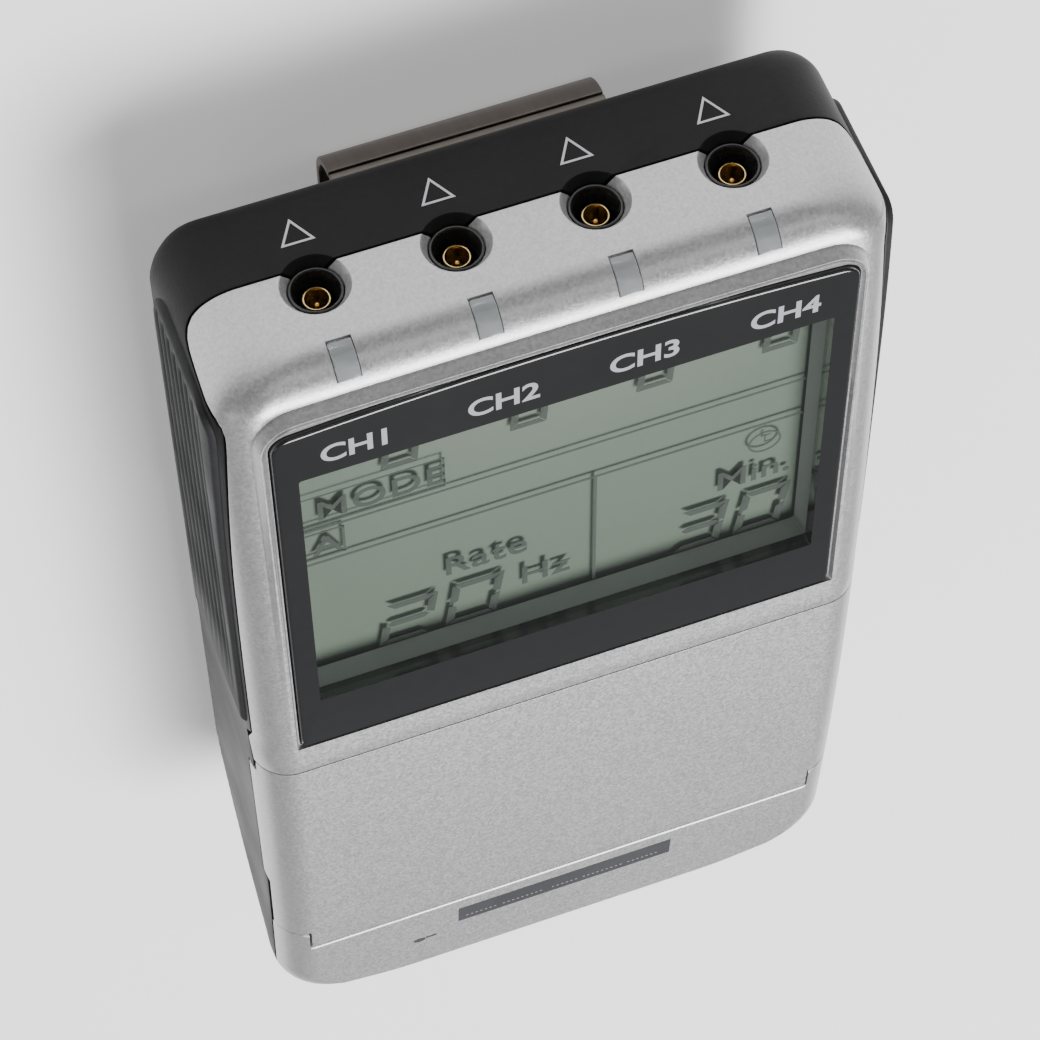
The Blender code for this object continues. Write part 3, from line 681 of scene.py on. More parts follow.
def stations(lo, hi, step):
    count = max(1, round((hi - lo) / step))
    return [lo + (hi - lo) * i / count for i in range(count + 1)]


def split_z(y):
    """Height of the front shell's lower edge."""
    if y <= SEAM_Y:
        return front_z(y) - SKIRT - 0.3
    if y < SEAM_Y + 6:
        rise = PART_SIDE_Z - 1.2 - front_z(SEAM_Y) + SKIRT + 0.3
        return front_z(SEAM_Y) - SKIRT - 0.3 + (y - SEAM_Y) / 6 * rise
    if y < SEAM_Y + 7:
        return PART_SIDE_Z - 1.2 + (y - SEAM_Y - 6) * 1.2
    return float(np.interp(y, *zip(*SIDE_CORNER)))


def smooth_step(t):
    t = min(1.0, max(0.0, t))
    return t * t * (3 - 2 * t)


def ear_share(y, grow=0.0):
    """1 where the cover's ear hangs down the side, 0 elsewhere, with soft corners."""
    return smooth_step((y - EAR[0] + grow) / 1.2 + 0.5) * smooth_step((EAR[1] + grow - y) / 1.2 + 0.5)


def rounded(x0, x1, y0, y1, low_r, top_r, bow=0.0, count=10, across=40, upright=30):
    """A rectangle's outline with rounded corners, evenly divided; bow lifts the top edge's middle."""
    pts = []

    def line(a, b, n):
        for i in range(1, n):
            pts.append((a[0] + (b[0] - a[0]) * i / n, a[1] + (b[1] - a[1]) * i / n))

    def corner(cx, cy, r, start):
        for i in range(count + 1):
            a = math.radians(start + 90 * i / count)
            pts.append((cx + r * math.cos(a), cy + r * math.sin(a)))

    corner(x0 + low_r, y0 + low_r, low_r, 180)
    line((x0 + low_r, y0), (x1 - low_r, y0), across)
    corner(x1 - low_r, y0 + low_r, low_r, 270)
    line((x1, y0 + low_r), (x1, y1 - top_r - bow), upright)
    corner(x1 - top_r, y1 - top_r - bow, top_r, 0)
    for i in range(1, across):
        u = 1 - 2 * i / across
        pts.append(((x0 + x1) / 2 + (x1 - x0 - 2 * top_r) / 2 * u, y1 - bow * u * u))
    corner(x0 + top_r, y1 - top_r - bow, top_r, 90)
    line((x0, y1 - top_r - bow), (x0, y0 + low_r), upright)
    return pts


# ---- front shell: the display part ----

jack_mouth = [(4.6, Y_TOP + 1.0), (3.98, Y_TOP + 0.06), (3.86, Y_TOP - 0.05), (3.76, Y_TOP - 0.2)]
jack_mouth += [(3.22, Y_TOP - 0.98), (3.1, Y_TOP - 1.25), (3.08, 60.0)]


def jack_cutters():
    return joined(*[turned(jack_mouth, (x, 0, JACK_Z), "Y", 56) for x in CHANNELS])


LIGHTS = [limits(f"light_window_{i}") for i in range(1, 5)]
WINDOW = (-33.9, 33.9, PANE[0][1] - GAP, PANE[1][1] + GAP)
FRAME_EDGE = (-35.3, 35.3, 0.9, 70.5)

ys = stations(SEAM_Y, Y_TOP - 8.2, 2.4)[:-1]
ys += stations(Y_TOP - 8.2, 69.0, 0.3)[:-1] + stations(69.0, 71.6, 0.13)[:-1] + stations(71.6, 73.7, 0.2)[:-1]
ys += [73.7, 73.95, 74.15, 74.3, 74.4, 74.45, Y_TOP]
rows = [upper_row(y, split_z(y)) for y in ys]
shell = grid_mesh(rows, [(-1, 1)], flip=True)
frame_hole = rounded(*FRAME_EDGE, 1.2, 5.0, 0.25)
light_slots = []
for lo, hi in LIGHTS:
    light_slots.append(box(lo[0] - 0.08, hi[0] + 0.08, lo[1] - 0.1, hi[1] + 2, lo[2] - 0.1, hi[2] + 4))
shell = modified(
    shell,
    solidify(1.8),
    bevel(0.28),
    ("DIFFERENCE", plate(frame_hole, 34.0, 45.0)),
    ("DIFFERENCE", joined(*light_slots)),
    ("DIFFERENCE", jack_cutters()),
)
obj_from("front_shell", smooth(shell), SILVER, "unit", ["front_housing"])


# ---- the raised frame round the window ----


def surface_z(x, y):
    """Height of the front surface, with its rounded sides."""
    half, high, base, r_front, r_back = form_at(y)
    over = abs(x) - (half - r_front)
    return high - fall(r_front - over, r_front) if over > 0 else high


def frame_ring(grow, lift, drop=0.0):
    """A ring inside the frame's outline; lift goes from 0, on the surface, to 1, on the frame's top."""
    x0, x1, y0, y1 = FRAME_EDGE
    ring = rounded(x0 - grow, x1 + grow, y0 - grow, y1 + grow, 1.2 + grow, 5.0 + grow, 0.25)
    out = []
    for x, y in ring:
        ground = surface_z(x, y)
        crest = Z_FRONT if y > CROWN_Y else front_z(y)
        out.append((x, y, ground + (max(crest, ground) - ground) * lift - drop))
    return out


def window_outline(grow):
    x0, x1, y0, y1 = WINDOW
    return rounded(x0 - grow, x1 + grow, y0 - grow, y1 + grow, 0.8 + grow, 2.6 + grow, 1.3)


def crest_ring(grow, drop):
    """A ring round the window, this far below the frame's top."""
    return [(x, y, (Z_FRONT if y > CROWN_Y else front_z(y)) - drop) for x, y in window_outline(grow)]


rings = [frame_ring(0.02, 0.0, 1.6), frame_ring(0.02, 0.0), frame_ring(-0.05, 0.04), frame_ring(-0.16, 0.16)]
rings += [frame_ring(-0.56, 0.72), frame_ring(-0.62, 0.77), frame_ring(-0.72, 0.765), frame_ring(-0.8, 0.72)]
rings += [frame_ring(-0.86, 0.76), frame_ring(-0.93, 0.84), frame_ring(-1.02, 0.865)]
rings += [crest_ring(0.1, 0.55), crest_ring(-0.06, 0.6), crest_ring(-0.12, 0.72), crest_ring(-0.14, 1.2)]
rings += [at_z(window_outline(-0.14), 36.0)]
obj_from("display_frame", smooth(grid_closed(rings), 40), SILVER, "unit", ["front_housing"])

# ---- front shell: chin, hinge ears and the deck under the cover ----


def closed_upper(y):
    """The front shell's row at this y, closed across its lower edge."""
    row = upper_row(y, split_z(y))
    first, last = row[0], row[-1]
    count = 24
    run, rise = first[0] - last[0], first[2] - last[2]
    return row + [(last[0] + run * i / count, y, last[2] + rise * i / count) for i in range(1, count)]


ys = rounding(Y_BOT, EDGE_BOTTOM, 10, 1)
ys += stations(Y_BOT + EDGE_BOTTOM, -61.0, 1.0)[1:]
ys += stations(-61.0, HINGE_Y + 2.35, 0.9)[1:]
chin = loft([closed_upper(y) for y in ys])


groove_y = COVER[0][1] - GAP
recess = [(SEAM_Y, 50), (SEAM_Y, DECK_Z), (HINGE_Y + 3.6, DECK_Z), (HINGE_Y + 3.2, 31.4)]
recess += [(HINGE_Y - 1.8, 31.2), (groove_y, 33.0), (groove_y, 34.6)]
recess += curve(groove_y - 0.5, front_z(groove_y - 0.5) - 0.5, 0.5, 0, 84, 6)
recess += [(groove_y - 0.5, 50)]
lug = [(SEAM_Y + 20, 50), (SEAM_Y + 20, DECK_Z), (HINGE_Y + 2.2, DECK_Z)]
lug += curve(HINGE_Y, HINGE_Z, 2.3, -15, 90, 14) + [(HINGE_Y, 50)]
key_nodes = [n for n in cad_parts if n.startswith("button_")]


def pill(lo, hi, grow=0.0, count=8):
    """A key's outline from its box."""
    half_x = (hi[0] - lo[0]) / 2 + grow
    half_y = (hi[1] - lo[1]) / 2 + grow
    cx, cy = (hi[0] + lo[0]) / 2, (hi[1] + lo[1]) / 2
    r = min(half_x, half_y) * 0.72
    pts = curve(cx + half_x - r, cy + half_y - r, r, 0, 90, count)
    pts += curve(cx - half_x + r, cy + half_y - r, r, 90, 180, count)
    pts += curve(cx - half_x + r, cy - half_y + r, r, 180, 270, count)
    pts += curve(cx + half_x - r, cy - half_y + r, r, 270, 360, count)
    return pts


def key_mouth(node):
    """A cutter for a key's hole, with a rounded mouth at the deck's face."""
    lo, hi = limits(node)
    levels = [(-0.6, 29.0), (-0.6, DECK_Z - 0.45), (-0.56, DECK_Z - 0.3), (-0.45, DECK_Z - 0.12)]
    levels += [(-0.25, DECK_Z), (-0.25, 37.0)]
    return loft([at_z(pill(lo, hi, grow), z) for grow, z in levels])


deck = modified(
    chin,
    ("UNION", box(-36.0, 36.0, -47.0, -3.2, 31.8, DECK_Z)),
    ("UNION", box(-35.0, 35.0, -58.5, -46.5, 29.9, 34.5)),
    ("DIFFERENCE", plate(recess, -LUG_X, LUG_X, "X")),
    ("DIFFERENCE", joined(plate(lug, LUG_X - 0.4, 45, "X"), plate(lug, -45, 0.4 - LUG_X, "X"))),
    ("DIFFERENCE", joined(*[key_mouth(n) for n in key_nodes])),
)
obj_from("front_chin", smooth(deck, 8), SILVER, "unit", ["front_housing"])
riser = box(-36.2, 36.2, SEAM_Y + 0.2, SEAM_Y + 2.6, 32.1, 36.4, 0.15)
obj_from("deck_step", smooth(riser), SILVER, "unit", ["front_housing"])

# ---- the strip and the mark on the chin ----


def chin_z(x, y):
    return surface_z(x, y) - 0.01


def strip_top(x, y):
    return chin_z(x, y) + PROUD


strip = slab(stations(-14.5, 15.7, 1.5), stations(-62.4, -58.1, 0.43), chin_z, strip_top)
obj_from("chin_strip", strip, LABEL, "unit", ["front_housing"])
dashes = []
for start, many in ((-13.4, 7), (-8.2, 9), (-1.2, 6), (3.2, 9), (9.6, 7)):
    for i in range(many):
        x = start + 0.66 * i
        low, high = (-61.2, -59.4) if i % 3 else (-61.2, -59.1)
        z = chin_z(x, low) + PROUD
        dashes.append(box(x, x + 0.3, low, high, z - 0.02, z + 0.01))
obj_from("chin_dashes", joined(*dashes), PRINT, "unit", ["front_housing"])
dot = ellipse(-20.0, -64.5, 0.85, 0.5, 24)
z = max(chin_z(x, y) for x, y in dot + [(-19.1, -64.1), (-17.6, -64.1)])
dot = joined(plate(dot, z - 0.4, z + PROUD), box(-19.1, -17.6, -64.5, -64.1, z - 0.4, z + PROUD))
obj_from("chin_mark", dot, LABEL, "unit", ["front_housing"])

# ---- cover ----


def cover_low(y):
    plain = front_z(y) - SKIRT
    return plain + (EAR[2] - plain) * ear_share(y)


end_y = COVER[0][1]
NOSE = 0.55
turns = [math.pi / 2 * k / 5 for k in range(6)]
rows = [(end_y + NOSE * (1 - math.cos(a)), NOSE * (1 - math.sin(a))) for a in turns]
rows += [(y, 0.0) for y in stations(end_y + NOSE, EAR[0] - 1.2, 1.6)[1:]]
rows += [(y, 0.0) for y in stations(EAR[0] - 1.2, EAR[0] + 1.2, 0.2)[1:]]
rows += [(y, 0.0) for y in stations(EAR[0] + 1.2, EAR[1] - 1.2, 1.6)[1:]]
rows += [(y, 0.0) for y in stations(EAR[1] - 1.2, COVER[1][1], 0.2)[1:]]
lid = grid_mesh([upper_row(y, cover_low(y), inset) for y, inset in rows], flip=True)
notch = [(HINGE_Y - 8, 50), (HINGE_Y - 8, 20), (HINGE_Y + 2.4, 20), (HINGE_Y + 2.4, 50)]
pins = [
    turned([(0, 33.6 * s), (0.75, 33.6 * s), (0.75, 36.4 * s), (0, 36.4 * s)], (0, HINGE_Y, HINGE_Z), "X", 24)
    for s in (1, -1)
]
lid = modified(
    lid,
    solidify(1.15),
    bevel(0.2),
    ("DIFFERENCE", joined(plate(notch, LUG_X - GAP, 60, "X"), plate(notch, -60, GAP - LUG_X, "X"))),
)
obj_from("cover_skin", smooth(lid), SILVER, "cover", ["flip_cover"])
obj_from("cover_pins", smooth(joined(*pins)), SILVER, "cover", ["flip_cover"])

# ---- rear shell ----


def rear_top(y):
    plain = split_z(y + GAP if y > 60 else y) - GAP
    if y > SEAM_Y:
        return plain
    return plain + (EAR[2] - GAP - plain) * ear_share(y, GAP)


def back_surface(x, y, inset=0.0):
    half, high, base, r_front, r_back = form_at(y, inset)
    over = abs(x) - (half - r_back)
    return base + fall(r_back - over, r_back) if over > 0 else base


ys = rounding(Y_BOT, 3.0, 8, 1)
ys += stations(Y_BOT + 3.0, EAR[0] - 1.6, 1.3)[1:]
ys += stations(EAR[0] - 1.6, EAR[0] + 1.2, 0.2)[1:]
ys += stations(EAR[0] + 1.2, EAR[1] - 1.2, 2.4)[1:]
ys += stations(EAR[1] - 1.2, SEAM_Y, 0.25)[1:]
ys += stations(SEAM_Y + 0.1, SEAM_Y + 8, 0.5)
ys += stations(SEAM_Y + 8, Y_TOP - 8.2, 2.2)[1:]
ys += stations(Y_TOP - 8.2, 68.7, 0.3)[1:] + stations(68.7, 71.4, 0.13)[1:] + stations(71.4, 73.7, 0.2)[1:]
ys += [73.95, 74.15, 74.3, 74.4, 74.45, Y_TOP]
rows = [lower_row(y, rear_top(y)) for y in ys]
back = grid_mesh(rows, [(-1, 1), (0, -1)])
pocket = slab(
    stations(-30.5, 30.5, 2.0),
    stations(DOOR[0][1] - GAP, DOOR[1][1] + GAP, 1.6),
    lambda x, y: back_surface(x, y) - 1.5,
    lambda x, y: back_surface(x, y, 2.1),
)
SCREWS = [limits(f"housing_screw_{i}") for i in range(1, 5)]
wells = []
for lo, hi in SCREWS:
    x, y = (lo[0] + hi[0]) / 2, (lo[1] + hi[1]) / 2
    well = [(2.9, -5), (2.9, lo[2] - 2.2), (2.4, lo[2] - 1.6), (2.4, lo[2] + 1.7), (0, lo[2] + 1.7)]
    wells.append(turned(well, (x, y, 0), "Z", 32))
back = modified(
    back,
    solidify(3.1),
    bevel(0.3),
    ("DIFFERENCE", pocket),
    ("DIFFERENCE", box(-29.6, 29.6, -46.4, 7.6, 5, 27.5)),
    ("DIFFERENCE", joined(*wells)),
    ("DIFFERENCE", jack_cutters()),
)
obj_from("rear_shell", smooth(back), BLACK, "unit", ["rear_housing"])
tray = box(-30.8, 30.8, -47.6, 8.8, 13.2, 28.2, 0.5)
tray = modified(tray, ("DIFFERENCE", box(-29.6, 29.6, -46.4, 7.6, 5, 27.0)))
obj_from("battery_tray", smooth(tray), BLACK, "unit", ["rear_housing"])
posts = []
for lo, hi in SCREWS:
    centre = ((lo[0] + hi[0]) / 2, (lo[1] + hi[1]) / 2, 0)
    posts.append(turned([(3.2, lo[2] + 1.5), (3.2, 26.0), (0, 26.0)], centre, "Z", 32))
obj_from("screw_posts", smooth(joined(*posts)), BLACK, "unit", ["rear_housing"])

# ---- battery door ----

door = slab(
    stations(DOOR[0][0], DOOR[1][0], 1.5),
    stations(DOOR[0][1], DOOR[1][1], 1.2),
    back_surface,
    lambda x, y: back_surface(x, y, 1.8),
)
arrow = [(0.0, -14.0), (-4.2, -9.2), (-1.6, -9.2), (-1.6, -4.0), (1.6, -4.0), (1.6, -9.2), (4.2, -9.2)]
grooves = [box(-9, 9, y, y + 0.8, 10.0, Z_BACK + 0.45, 0.2) for y in (-20.0, -22.2, -24.4, -26.6)]
door = modified(
    door,
    bevel(0.3),
    ("DIFFERENCE", plate(arrow, 10.0, Z_BACK + 0.3)),
    ("DIFFERENCE", joined(*grooves)),
)
obj_from("door_panel", smooth(door), BLACK, "door", ["battery_door"])

# ---- side grips ----

GRIP = limits("side_grip_right")
GRIP_LOW_Y, GRIP_TOP_Y = GRIP[0][1], GRIP[1][1]
REACH = GRIP[1][0] - PROUD
PROTRUSION = REACH - HALF_W
RIBS_FROM = 33.9
RIB_PITCH = 2.1
RIB_DEPTH = 0.62


def grip_top(y):
    return split_z(y + 0.9) - 0.95


def grip_low(y):
    return float(np.interp(y, (0, 63.0, 65.5, 67.6, 68.8, 69.5), (14.5, 14.5, 14.7, 15.4, 16.4, 17.6)))


def side_x(y, z):
    half, high, base, r_front, r_back = form_at(y)
    if z > high - r_front:
        return half - fall(high - z, r_front)
    if z < base + r_back:
        return half - fall(z - base, r_back)
    return half


def grip(sign):
    """A ribbed rubber pad over one side, with rounded rims."""
    us = [0.5 - 0.5 * math.cos(math.pi * i / 110) for i in range(111)]
    columns = 150
    outer, inner = [], []
    for u in us:
        y = GRIP_LOW_Y + (GRIP_TOP_Y - GRIP_LOW_Y) * u
        end = min(1.0, (y - GRIP_LOW_Y) / 1.2, (GRIP_TOP_Y - y) / 0.7)
        end_round = math.sqrt(max(0.0, 1 - (1 - max(end, 0.0)) ** 2))
        z_hi, z_lo = grip_top(y), grip_low(y)
        row_o, row_i = [], []
        for i in range(columns + 1):
            z = z_hi + (z_lo - z_hi) * i / columns
            d = z_hi - z
            rim = min(1.0, d / 0.5, (z - z_lo) / 1.2)
            rim = math.sqrt(max(0.0, 1 - (1 - max(rim, 0.0)) ** 2))
            rib_on = smooth_step((RIBS_FROM - z - 2.0) / 0.6) * smooth_step((z - z_lo - 0.8) / 1.0)
            rib_on *= smooth_step((y - GRIP_LOW_Y - 2.0) / 14.0) * smooth_step((GRIP_TOP_Y - 0.9 - y) / 2.0)
            wave = math.cos(2 * math.pi * (RIBS_FROM - z - 2.2) / RIB_PITCH)
            rib = max(0.0, 0.5 - 0.5 * wave) ** 0.7
            lift = PROTRUSION - RIB_DEPTH * rib_on * (1 - rib)
            out = -0.3 + (lift + 0.3) * rim * end_round
            x = side_x(y, z)
            row_o.append((sign * min(x + out, REACH), y, z))
            row_i.append((sign * (x - 0.65), y, z))
        outer.append(row_o)
        inner.append(row_i)
    rings = [a + b[::-1] for a, b in zip(outer, inner)]
    return loft(rings)


for name, sign in (("left", -1), ("right", 1)):
    obj_from(f"grip_{name}", smooth(grip(sign), 60), RUBBER, "unit", [f"side_grip_{name}"])

# ---- window, LCD and what it shows ----


def pane_outline(grow=0.0):
    lo, hi = PANE
    return rounded(lo[0] - grow, hi[0] + grow, lo[1] - grow, hi[1] + grow, 0.6 + grow, 2.4 + grow, 1.3)


def view_outline(grow=0.0, r=0.5):
    x, y = VIEW_HALF_X + grow, VIEW_HALF_Y + grow
    return rounded(-x, x, VIEW_Y - y, VIEW_Y + y, r, r)


pane_z = Z_FRONT - 0.03
rings = [at_z(pane_outline(), PANE[0][2]), at_z(pane_outline(), pane_z - 0.35)]
for grow, drop in ((-0.08, 0.14), (-0.24, 0.02), (-0.45, 0.0)):
    rings.append(at_z(pane_outline(grow), pane_z - drop))
rings += [at_z(view_outline(0.0, 0.4), pane_z), at_z(view_outline(0.0, 0.4), PANE[0][2])]
obj_from("window_border", smooth(grid_closed(rings), 40), DARK, "unit", ["display_window"])
clear = plate(view_outline(-0.02, 0.4), pane_z - 0.9, pane_z - 0.01)
obj_from("window_pane", smooth(clear), CLEAR, "unit", ["display_window"])
rings = [at_z(view_outline(1.6), GLASS[1][2] + 0.05), at_z(view_outline(1.6), PANE[0][2] - 0.05)]
rings += [at_z(view_outline(0.05), PANE[0][2] - 0.05), at_z(view_outline(-0.6), GLASS[1][2] + 0.05)]
obj_from("display_well", smooth(grid_closed(rings), 30), WELL, "unit", ["front_housing"])
lcd_top = GLASS[1][2] - 0.75
lcd = box(GLASS[0][0], GLASS[1][0], GLASS[0][1], GLASS[1][1], GLASS[0][2], lcd_top, 0.15)
obj_from("lcd_reflector", smooth(lcd), LCD, "unit", ["lcd_glass"])

INK_Z = GLASS[1][2] - 0.1
INK_DEEP = 0.05
SEGMENTS = {"0": "abcdef", "2": "abged", "3": "abgcd"}


def digit(char, x, y, width, height, stroke, slant=0.08):
    """A seven-segment digit as flat bars; (x, y) is its lower left corner."""
    w, h, s = width, height, stroke
    g = 0.12 * s
    m = h / 2
    bars = {
        "a": [(g, h), (w - g, h), (w - s - g, h - s), (s + g, h - s)],
        "d": [(g, 0), (w - g, 0), (w - s - g, s), (s + g, s)],
        "f": [(0, h - g), (0, m + g), (s, m + s / 2 + g), (s, h - s - g)],
        "e": [(0, m - g), (0, g), (s, s + g), (s, m - s / 2 - g)],
        "b": [(w, h - g), (w, m + g), (w - s, m + s / 2 + g), (w - s, h - s - g)],
        "c": [(w, m - g), (w, g), (w - s, s + g), (w - s, m - s / 2 - g)],
    }
    upper = [(s + g, m + s / 2), (w - s - g, m + s / 2)]
    lower = [(w - s - g, m - s / 2), (s + g, m - s / 2)]
    bars["g"] = [(g + s / 2, m), *upper, (w - g - s / 2, m), *lower]
    shapes = [[(x + a + slant * b, y + b) for a, b in bars[key]] for key in SEGMENTS[char]]
    return [plate(shape, INK_Z - INK_DEEP, INK_Z) for shape in shapes]


def words(text, x, y, size, z, deep=0.03, bold=0.0, spacing=1.0):
    """Lettering as a thin solid, its lower left corner at (x, y)."""
    data = bpy.data.curves.new("words", "FONT")
    data.body = text
    data.size = size * MM
    data.extrude = deep / 2 * MM
    data.offset = bold * MM
    data.space_character = spacing
    data.resolution_u = 6
    obj = bpy.data.objects.new("words", data)
    bpy.context.scene.collection.objects.link(obj)
    obj.location = Vector((x, y, z - deep / 2)) * MM
    return baked(obj)


def bar(x0, x1, y0, y1):
    return box(x0, x1, y0, y1, INK_Z - INK_DEEP, INK_Z)


def outline_box(x0, x1, y0, y1, t):
    across = [bar(x0, x1, y0, y0 + t), bar(x0, x1, y1 - t, y1)]
    return across + [bar(x0, x0 + t, y0, y1), bar(x1 - t, x1, y0, y1)]


ink = []
for x in (-18.0, -2.9, 12.0, 27.0):
    ink += digit("0", x - 2.6, 49.9, 4.3, 8.0, 0.85)
for char, x in (("2", -22.2), ("0", -14.0)):
    ink += digit(char, x, 12.4, 6.4, 8.6, 1.05, 0.14)
for char, x in (("3", 14.6), ("0", 22.4)):
    ink += digit(char, x, 12.6, 6.0, 8.4, 1.05, 0.14)
lines = [bar(-30.8, 30.8, 41.9, 42.25), bar(-30.8, 30.8, 34.9, 35.3), bar(4.55, 4.95, 11.4, 34.9)]
lines += outline_box(-32.0, -13.2, 42.9, 48.8, 0.22) + outline_box(-30.2, -25.2, 36.0, 41.4, 0.3)
dial = []
for r, z in ((2.1, INK_Z - INK_DEEP), (2.1, INK_Z), (1.8, INK_Z), (1.8, INK_Z - INK_DEEP)):
    dial.append(at_z(ellipse(25.7, 31.3, r, r, 32), z))
lines += [grid_closed(dial), bar(25.6, 25.8, 31.3, 32.7), bar(25.7, 26.9, 31.2, 31.4)]
lettering = []
for text, x, y, size, spacing in (
    ("MODE", -28.4, 43.9, 5.1, 1.1),
    ("A", -29.0, 36.7, 5.0, 1.0),
    ("Rate", -13.9, 23.8, 5.3, 1.08),
    ("Hz", -4.6, 16.6, 5.3, 1.08),
    ("Min.", 19.8, 23.6, 5.3, 1.05),
):
    lettering.append(words(text, x, y, size, INK_Z, INK_DEEP, 0.08, spacing))
obj_from("lcd_segments", joined(*ink), INK, "unit", ["lcd_glass"])
obj_from("lcd_rules", joined(*lines), LINE_INK, "unit", ["lcd_glass"])
obj_from("lcd_words", joined(*lettering), INK, "unit", ["lcd_glass"])

labels = []
for i, x in enumerate((-24.5, -7.9, 8.3, 24.6)):
    labels.append(words(f"CH{i + 1}", x - 3.85, 61.75, 4.3, pane_z + 0.02, 0.03, 0.1, 1.0))
obj_from("channel_names", joined(*labels), PRINT, "unit", ["display_window"])

# ---- jacks ----

for i, x in enumerate(CHANNELS):
    n = i + 1
    lo, hi = limits(f"lead_jack_{n}")
    face = hi[1]
    at = (x, 0, JACK_Z)
    profile = [(0, lo[1]), (3.3, lo[1]), (3.3, lo[1] + 3), (3.04, lo[1] + 3.2), (3.04, face - 0.65)]
    profile += [(2.98, face - 0.53), (2.86, face - 0.48), (2.74, face - 0.5), (2.64, face - 0.6)]
    profile += [(2.58, face - 0.85), (2.5, 71.5), (2.3, 71.2), (2.24, 70.9)]
    profile += [(2.2, 67.2), (1.9, 66.9), (0, 66.9)]
    collar = [(0, 66.6), (1.62, 66.6), (1.62, 71.62), (1.58, 71.72), (1.5, 71.76), (1.42, 71.7), (1.38, 71.6)]
    collar += [(1.38, 68.6), (0, 68.6)]
    for name, outline, steps in (("shroud", profile, 56), ("collar", collar, 40)):
        mesh = smooth(turned(outline, at, "Y", steps))
        obj_from(f"jack_{name}_{n}", mesh, SOCKET, "unit", [f"lead_jack_{n}"])
    ring = [(1.3, 68.4), (1.53, 68.4), (1.53, 71.8), (1.5, 71.88), (1.43, 71.9), (1.36, 71.87), (1.32, 71.78)]
    ring += [(1.3, 71.6), (1.3, 68.4)]
    pin = [(0, 68.0), (0.36, 68.0), (0.36, 70.45), (0.34, 70.66), (0.27, 70.83), (0.15, 70.92), (0, 70.95)]
    contact = joined(turned(ring, at, "Y", 40), turned(pin, at, "Y", 32))
    obj_from(f"jack_contact_{n}", smooth(contact), GOLD, "unit", [f"jack_pin_{n}"])

# ---- light windows ----


def light_row(t, depth):
    """(y, z) on the end's rounded edge at t from its lower end to its upper end, sunk by depth."""
    start, end = math.radians(8), math.radians(64)
    a = start + (end - start) * t
    r = EDGE_TOP - depth
    cy = Y_TOP - EDGE_TOP
    cz = front_z(cy) - EDGE_TOP
    return cy + r * math.cos(a), cz + r * math.sin(a)


for i, (lo, hi) in enumerate(LIGHTS):
    n = i + 1
    outline = [light_row(k / 3, -0.06) for k in range(4)] + [light_row(1 - k / 3, 1.9) for k in range(4)]
    block = modified(plate(outline, lo[0] + 0.02, hi[0] - 0.02, "X"), bevel(0.16, 8, 3))
    obj_from(f"light_block_{n}", smooth(block, 18), FROST, "unit", [f"light_window_{n}"])
    l_lo, l_hi = limits(f"channel_light_{n}")
    x = (l_lo[0] + l_hi[0]) / 2
    z = (l_lo[2] + l_hi[2]) / 2
    profile = [(0, l_lo[1]), (1.2, l_lo[1]), (1.2, l_lo[1] + 0.5), (0.92, l_lo[1] + 0.5)]
    profile += [(0.92, l_hi[1] - 0.85)]
    profile += [(0.92 * math.cos(a), l_hi[1] - 0.85 + 0.85 * math.sin(a)) for a in (0.3, 0.6, 0.9, 1.2, 1.45)]
    led = turned(profile + [(0, l_hi[1])], (x, 0, z), "Y", 32)
    obj_from(f"led_{n}", smooth(led), LENS, "unit", [f"channel_light_{n}"])

# ---- marks on the end face ----


def triangle_ring(x, z, side, thick):
    """A triangle's outline on the end face, pointing away from the front."""
    height = side * math.sqrt(3) / 2
    points = [(x, z - height * 2 / 3), (x - side / 2, z + height / 3), (x + side / 2, z + height / 3)]
    shrink = 1 - thick / (height / 3)
    inner = [(x + (px - x) * shrink, z + (pz - z) * shrink) for px, pz in points]
    low, high = Y_TOP - 0.1, Y_TOP + PROUD - 0.005
    rings = ((points, low), (points, high), (inner, high), (inner, low))
    return grid_closed([[(px, y, pz) for px, pz in ring] for ring, y in rings])


marks = [triangle_ring(x, 17.6, 3.9, 0.26) for x in CHANNELS]
obj_from("end_marks", joined(*marks), MARK, "unit", ["rear_housing"])

# ---- belt clip ----

TONGUE = limits("clip_tongue")
ARM = limits("clip_arm")
CLIP_HALF = TONGUE[1][0]
bend_r = (TONGUE[1][2] - ARM[0][2]) / 2
clip_z = ARM[0][2] + bend_r
bend_y = TONGUE[1][1] - bend_r
tongue = [(TONGUE[0][1], clip_z + bend_r)] + curve(bend_y, clip_z, bend_r, 90, 1.0, 26)
tongue += curve(bend_y, clip_z, bend_r - 1.0, 1.0, 90, 26) + [(TONGUE[0][1], clip_z + bend_r - 1.0)]
arm_end = ARM[0][1]
toe = [(6, 0.0), (5, 0.02), (4, 0.1), (3, 0.28), (2, 0.6), (1, 1.05), (0, 1.6), (0.5, 2.4), (1.5, 1.9)]
toe += [(2.5, 1.5), (3.6, 1.22), (5, 1.05), (6.2, 1.0)]
arm = curve(bend_y, clip_z, bend_r, -1.0, -90, 26) + [(arm_end + y, z) for y, z in toe]
arm += curve(bend_y, clip_z, bend_r - 1.0, -90, -1.0, 26)
for name, outline, body, node in (
    ("clip_base", tongue, "unit", "clip_tongue"),
    ("clip_spring_arm", arm, "clip_arm", "clip_arm"),
):
    mesh = modified(plate(outline, -CLIP_HALF, CLIP_HALF, "X"), bevel(0.22))
    obj_from(name, smooth(mesh), CLIP, body, [node])

# ---- keys ----


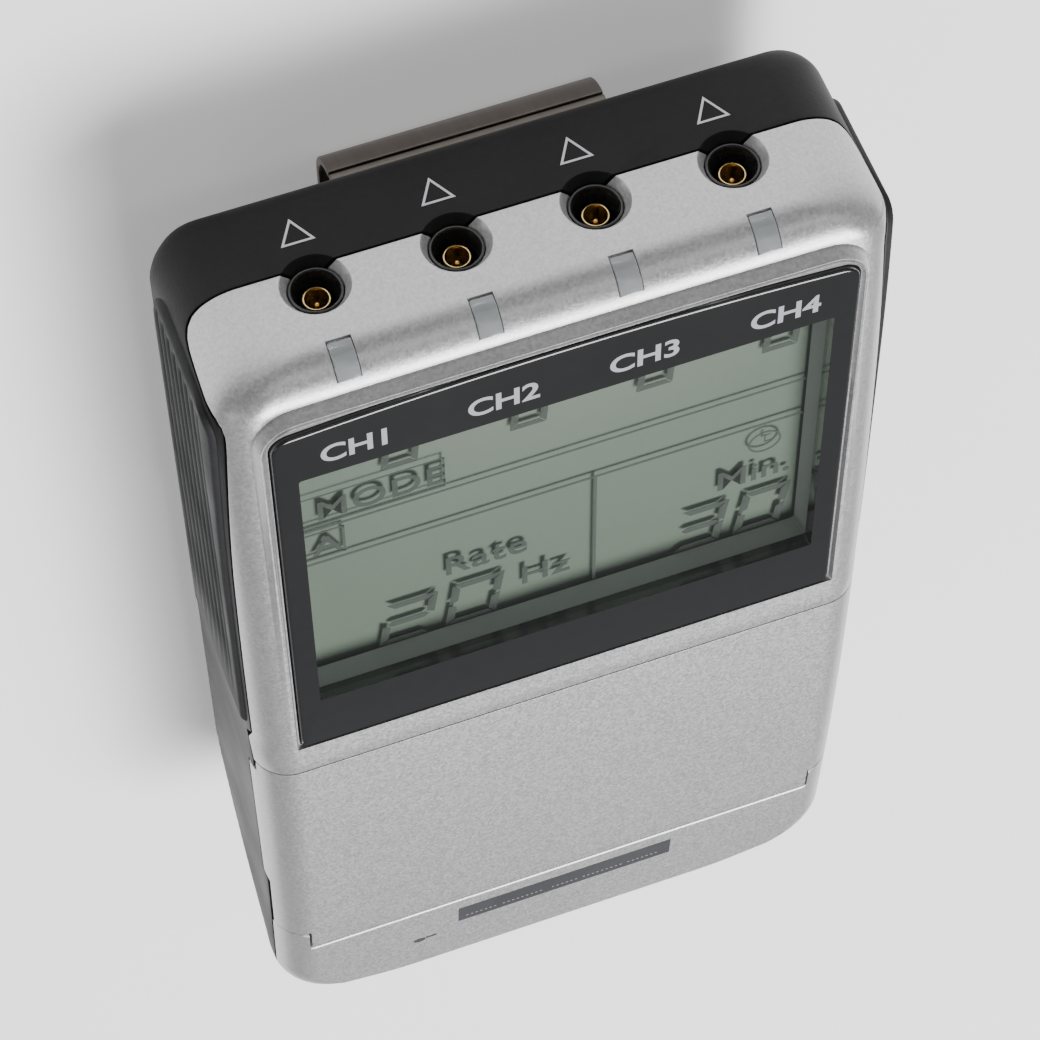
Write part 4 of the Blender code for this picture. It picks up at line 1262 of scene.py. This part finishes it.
def key_icon(node, cx, cy, z):
    """What is printed on a key: an arrow, a plus, a minus, a disc or a square."""
    if node.endswith("_up") or node.endswith("_down"):
        s = 1 if node.endswith("_up") else -1
        return plate([(cx - 1.7, cy - 1.1 * s), (cx + 1.7, cy - 1.1 * s), (cx, cy + 1.5 * s)], z - 0.2, z)
    if node.endswith("minus"):
        return box(cx - 1.6, cx + 1.6, cy - 0.3, cy + 0.3, z - 0.2, z)
    if node.endswith("plus"):
        cross = [(-1.6, -0.3), (-0.3, -0.3), (-0.3, -1.6), (0.3, -1.6), (0.3, -0.3), (1.6, -0.3)]
        cross += [(-a, -b) for a, b in cross]
        return plate([(cx + a, cy + b) for a, b in cross], z - 0.2, z)
    if node.endswith("set"):
        return plate(curve(cx, cy, 1.4, 0, 345, 23), z - 0.2, z)
    square = [(cx + a, cy + b) for a, b in ((-1.3, -1.3), (1.3, -1.3), (1.3, 1.3), (-1.3, 1.3))]
    return plate(square, z - 0.2, z)


for node in key_nodes:
    lo, hi = limits(node)
    cx, cy = (lo[0] + hi[0]) / 2, (lo[1] + hi[1]) / 2
    top = hi[2]
    levels = [(0.0, lo[2]), (0.0, lo[2] + 0.8), (-0.9, lo[2] + 0.8), (-0.9, top - 0.75), (-0.97, top - 0.5)]
    levels += [(-1.12, top - 0.3), (-1.4, top - 0.16), (-1.9, top - 0.08), (-2.6, top - 0.04)]
    name = node.removeprefix("button_")
    cap = loft([at_z(pill(lo, hi, grow), z) for grow, z in levels])
    obj_from(f"key_{name}", smooth(cap, 35), KEYS, node, [node])
    obj_from(f"key_icon_{name}", key_icon(node, cx, cy, top), KEY_MARK, node, [node])

# ---- screws ----

for i, (lo, hi) in enumerate(SCREWS + [limits("clip_screw")]):
    node = f"housing_screw_{i + 1}" if i < 4 else "clip_screw"
    x, y = (lo[0] + hi[0]) / 2, (lo[1] + hi[1]) / 2
    head = 2.05 if i < 4 else 2.35
    z = lo[2]
    profile = [(0, z), (head * 0.45, z + 0.02), (head * 0.8, z + 0.12), (head * 0.97, z + 0.35)]
    profile += [(head, z + 0.6), (head, z + 1.35), (1.1, z + 1.4), (1.1, hi[2] - 0.4), (0.6, hi[2]), (0, hi[2])]
    slot_a = box(x - 1.25, x + 1.25, y - 0.26, y + 0.26, z - 1, z + 0.8)
    slot_b = box(x - 0.26, x + 0.26, y - 1.25, y + 1.25, z - 1, z + 0.8)
    screw = modified(turned(profile, (x, y, 0), "Z", 40), ("DIFFERENCE", slot_a), ("DIFFERENCE", slot_b))
    obj_from(f"screw_{i + 1}", smooth(screw), STEEL, "unit", [node])

# ---- carried-over pieces and their materials ----

CARRIED = {"lcd_holder": BLACK, "lcd_connector": SILICONE, "main_board": BOARD, "keypad_mat": SILICONE}
for i in range(1, 5):
    CARRIED[f"transformer_{i}"] = FERRITE
    CARRIED[f"battery_{i}"] = CELL
for name in ("positive", "negative", "bridge_top", "bridge_left", "bridge_right"):
    CARRIED[f"contact_{name}"] = STEEL
for node, mat in CARRIED.items():
    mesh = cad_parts[node].data
    mesh.materials.clear()
    mesh.materials.append(mat)

# ---- floor ----

WIDE = 2500
ground = plate([(-WIDE, -WIDE), (WIDE, -WIDE), (WIDE, WIDE), (-WIDE, WIDE)], -20.0, -0.05)
floor = obj_from("floor", ground, FLOOR)
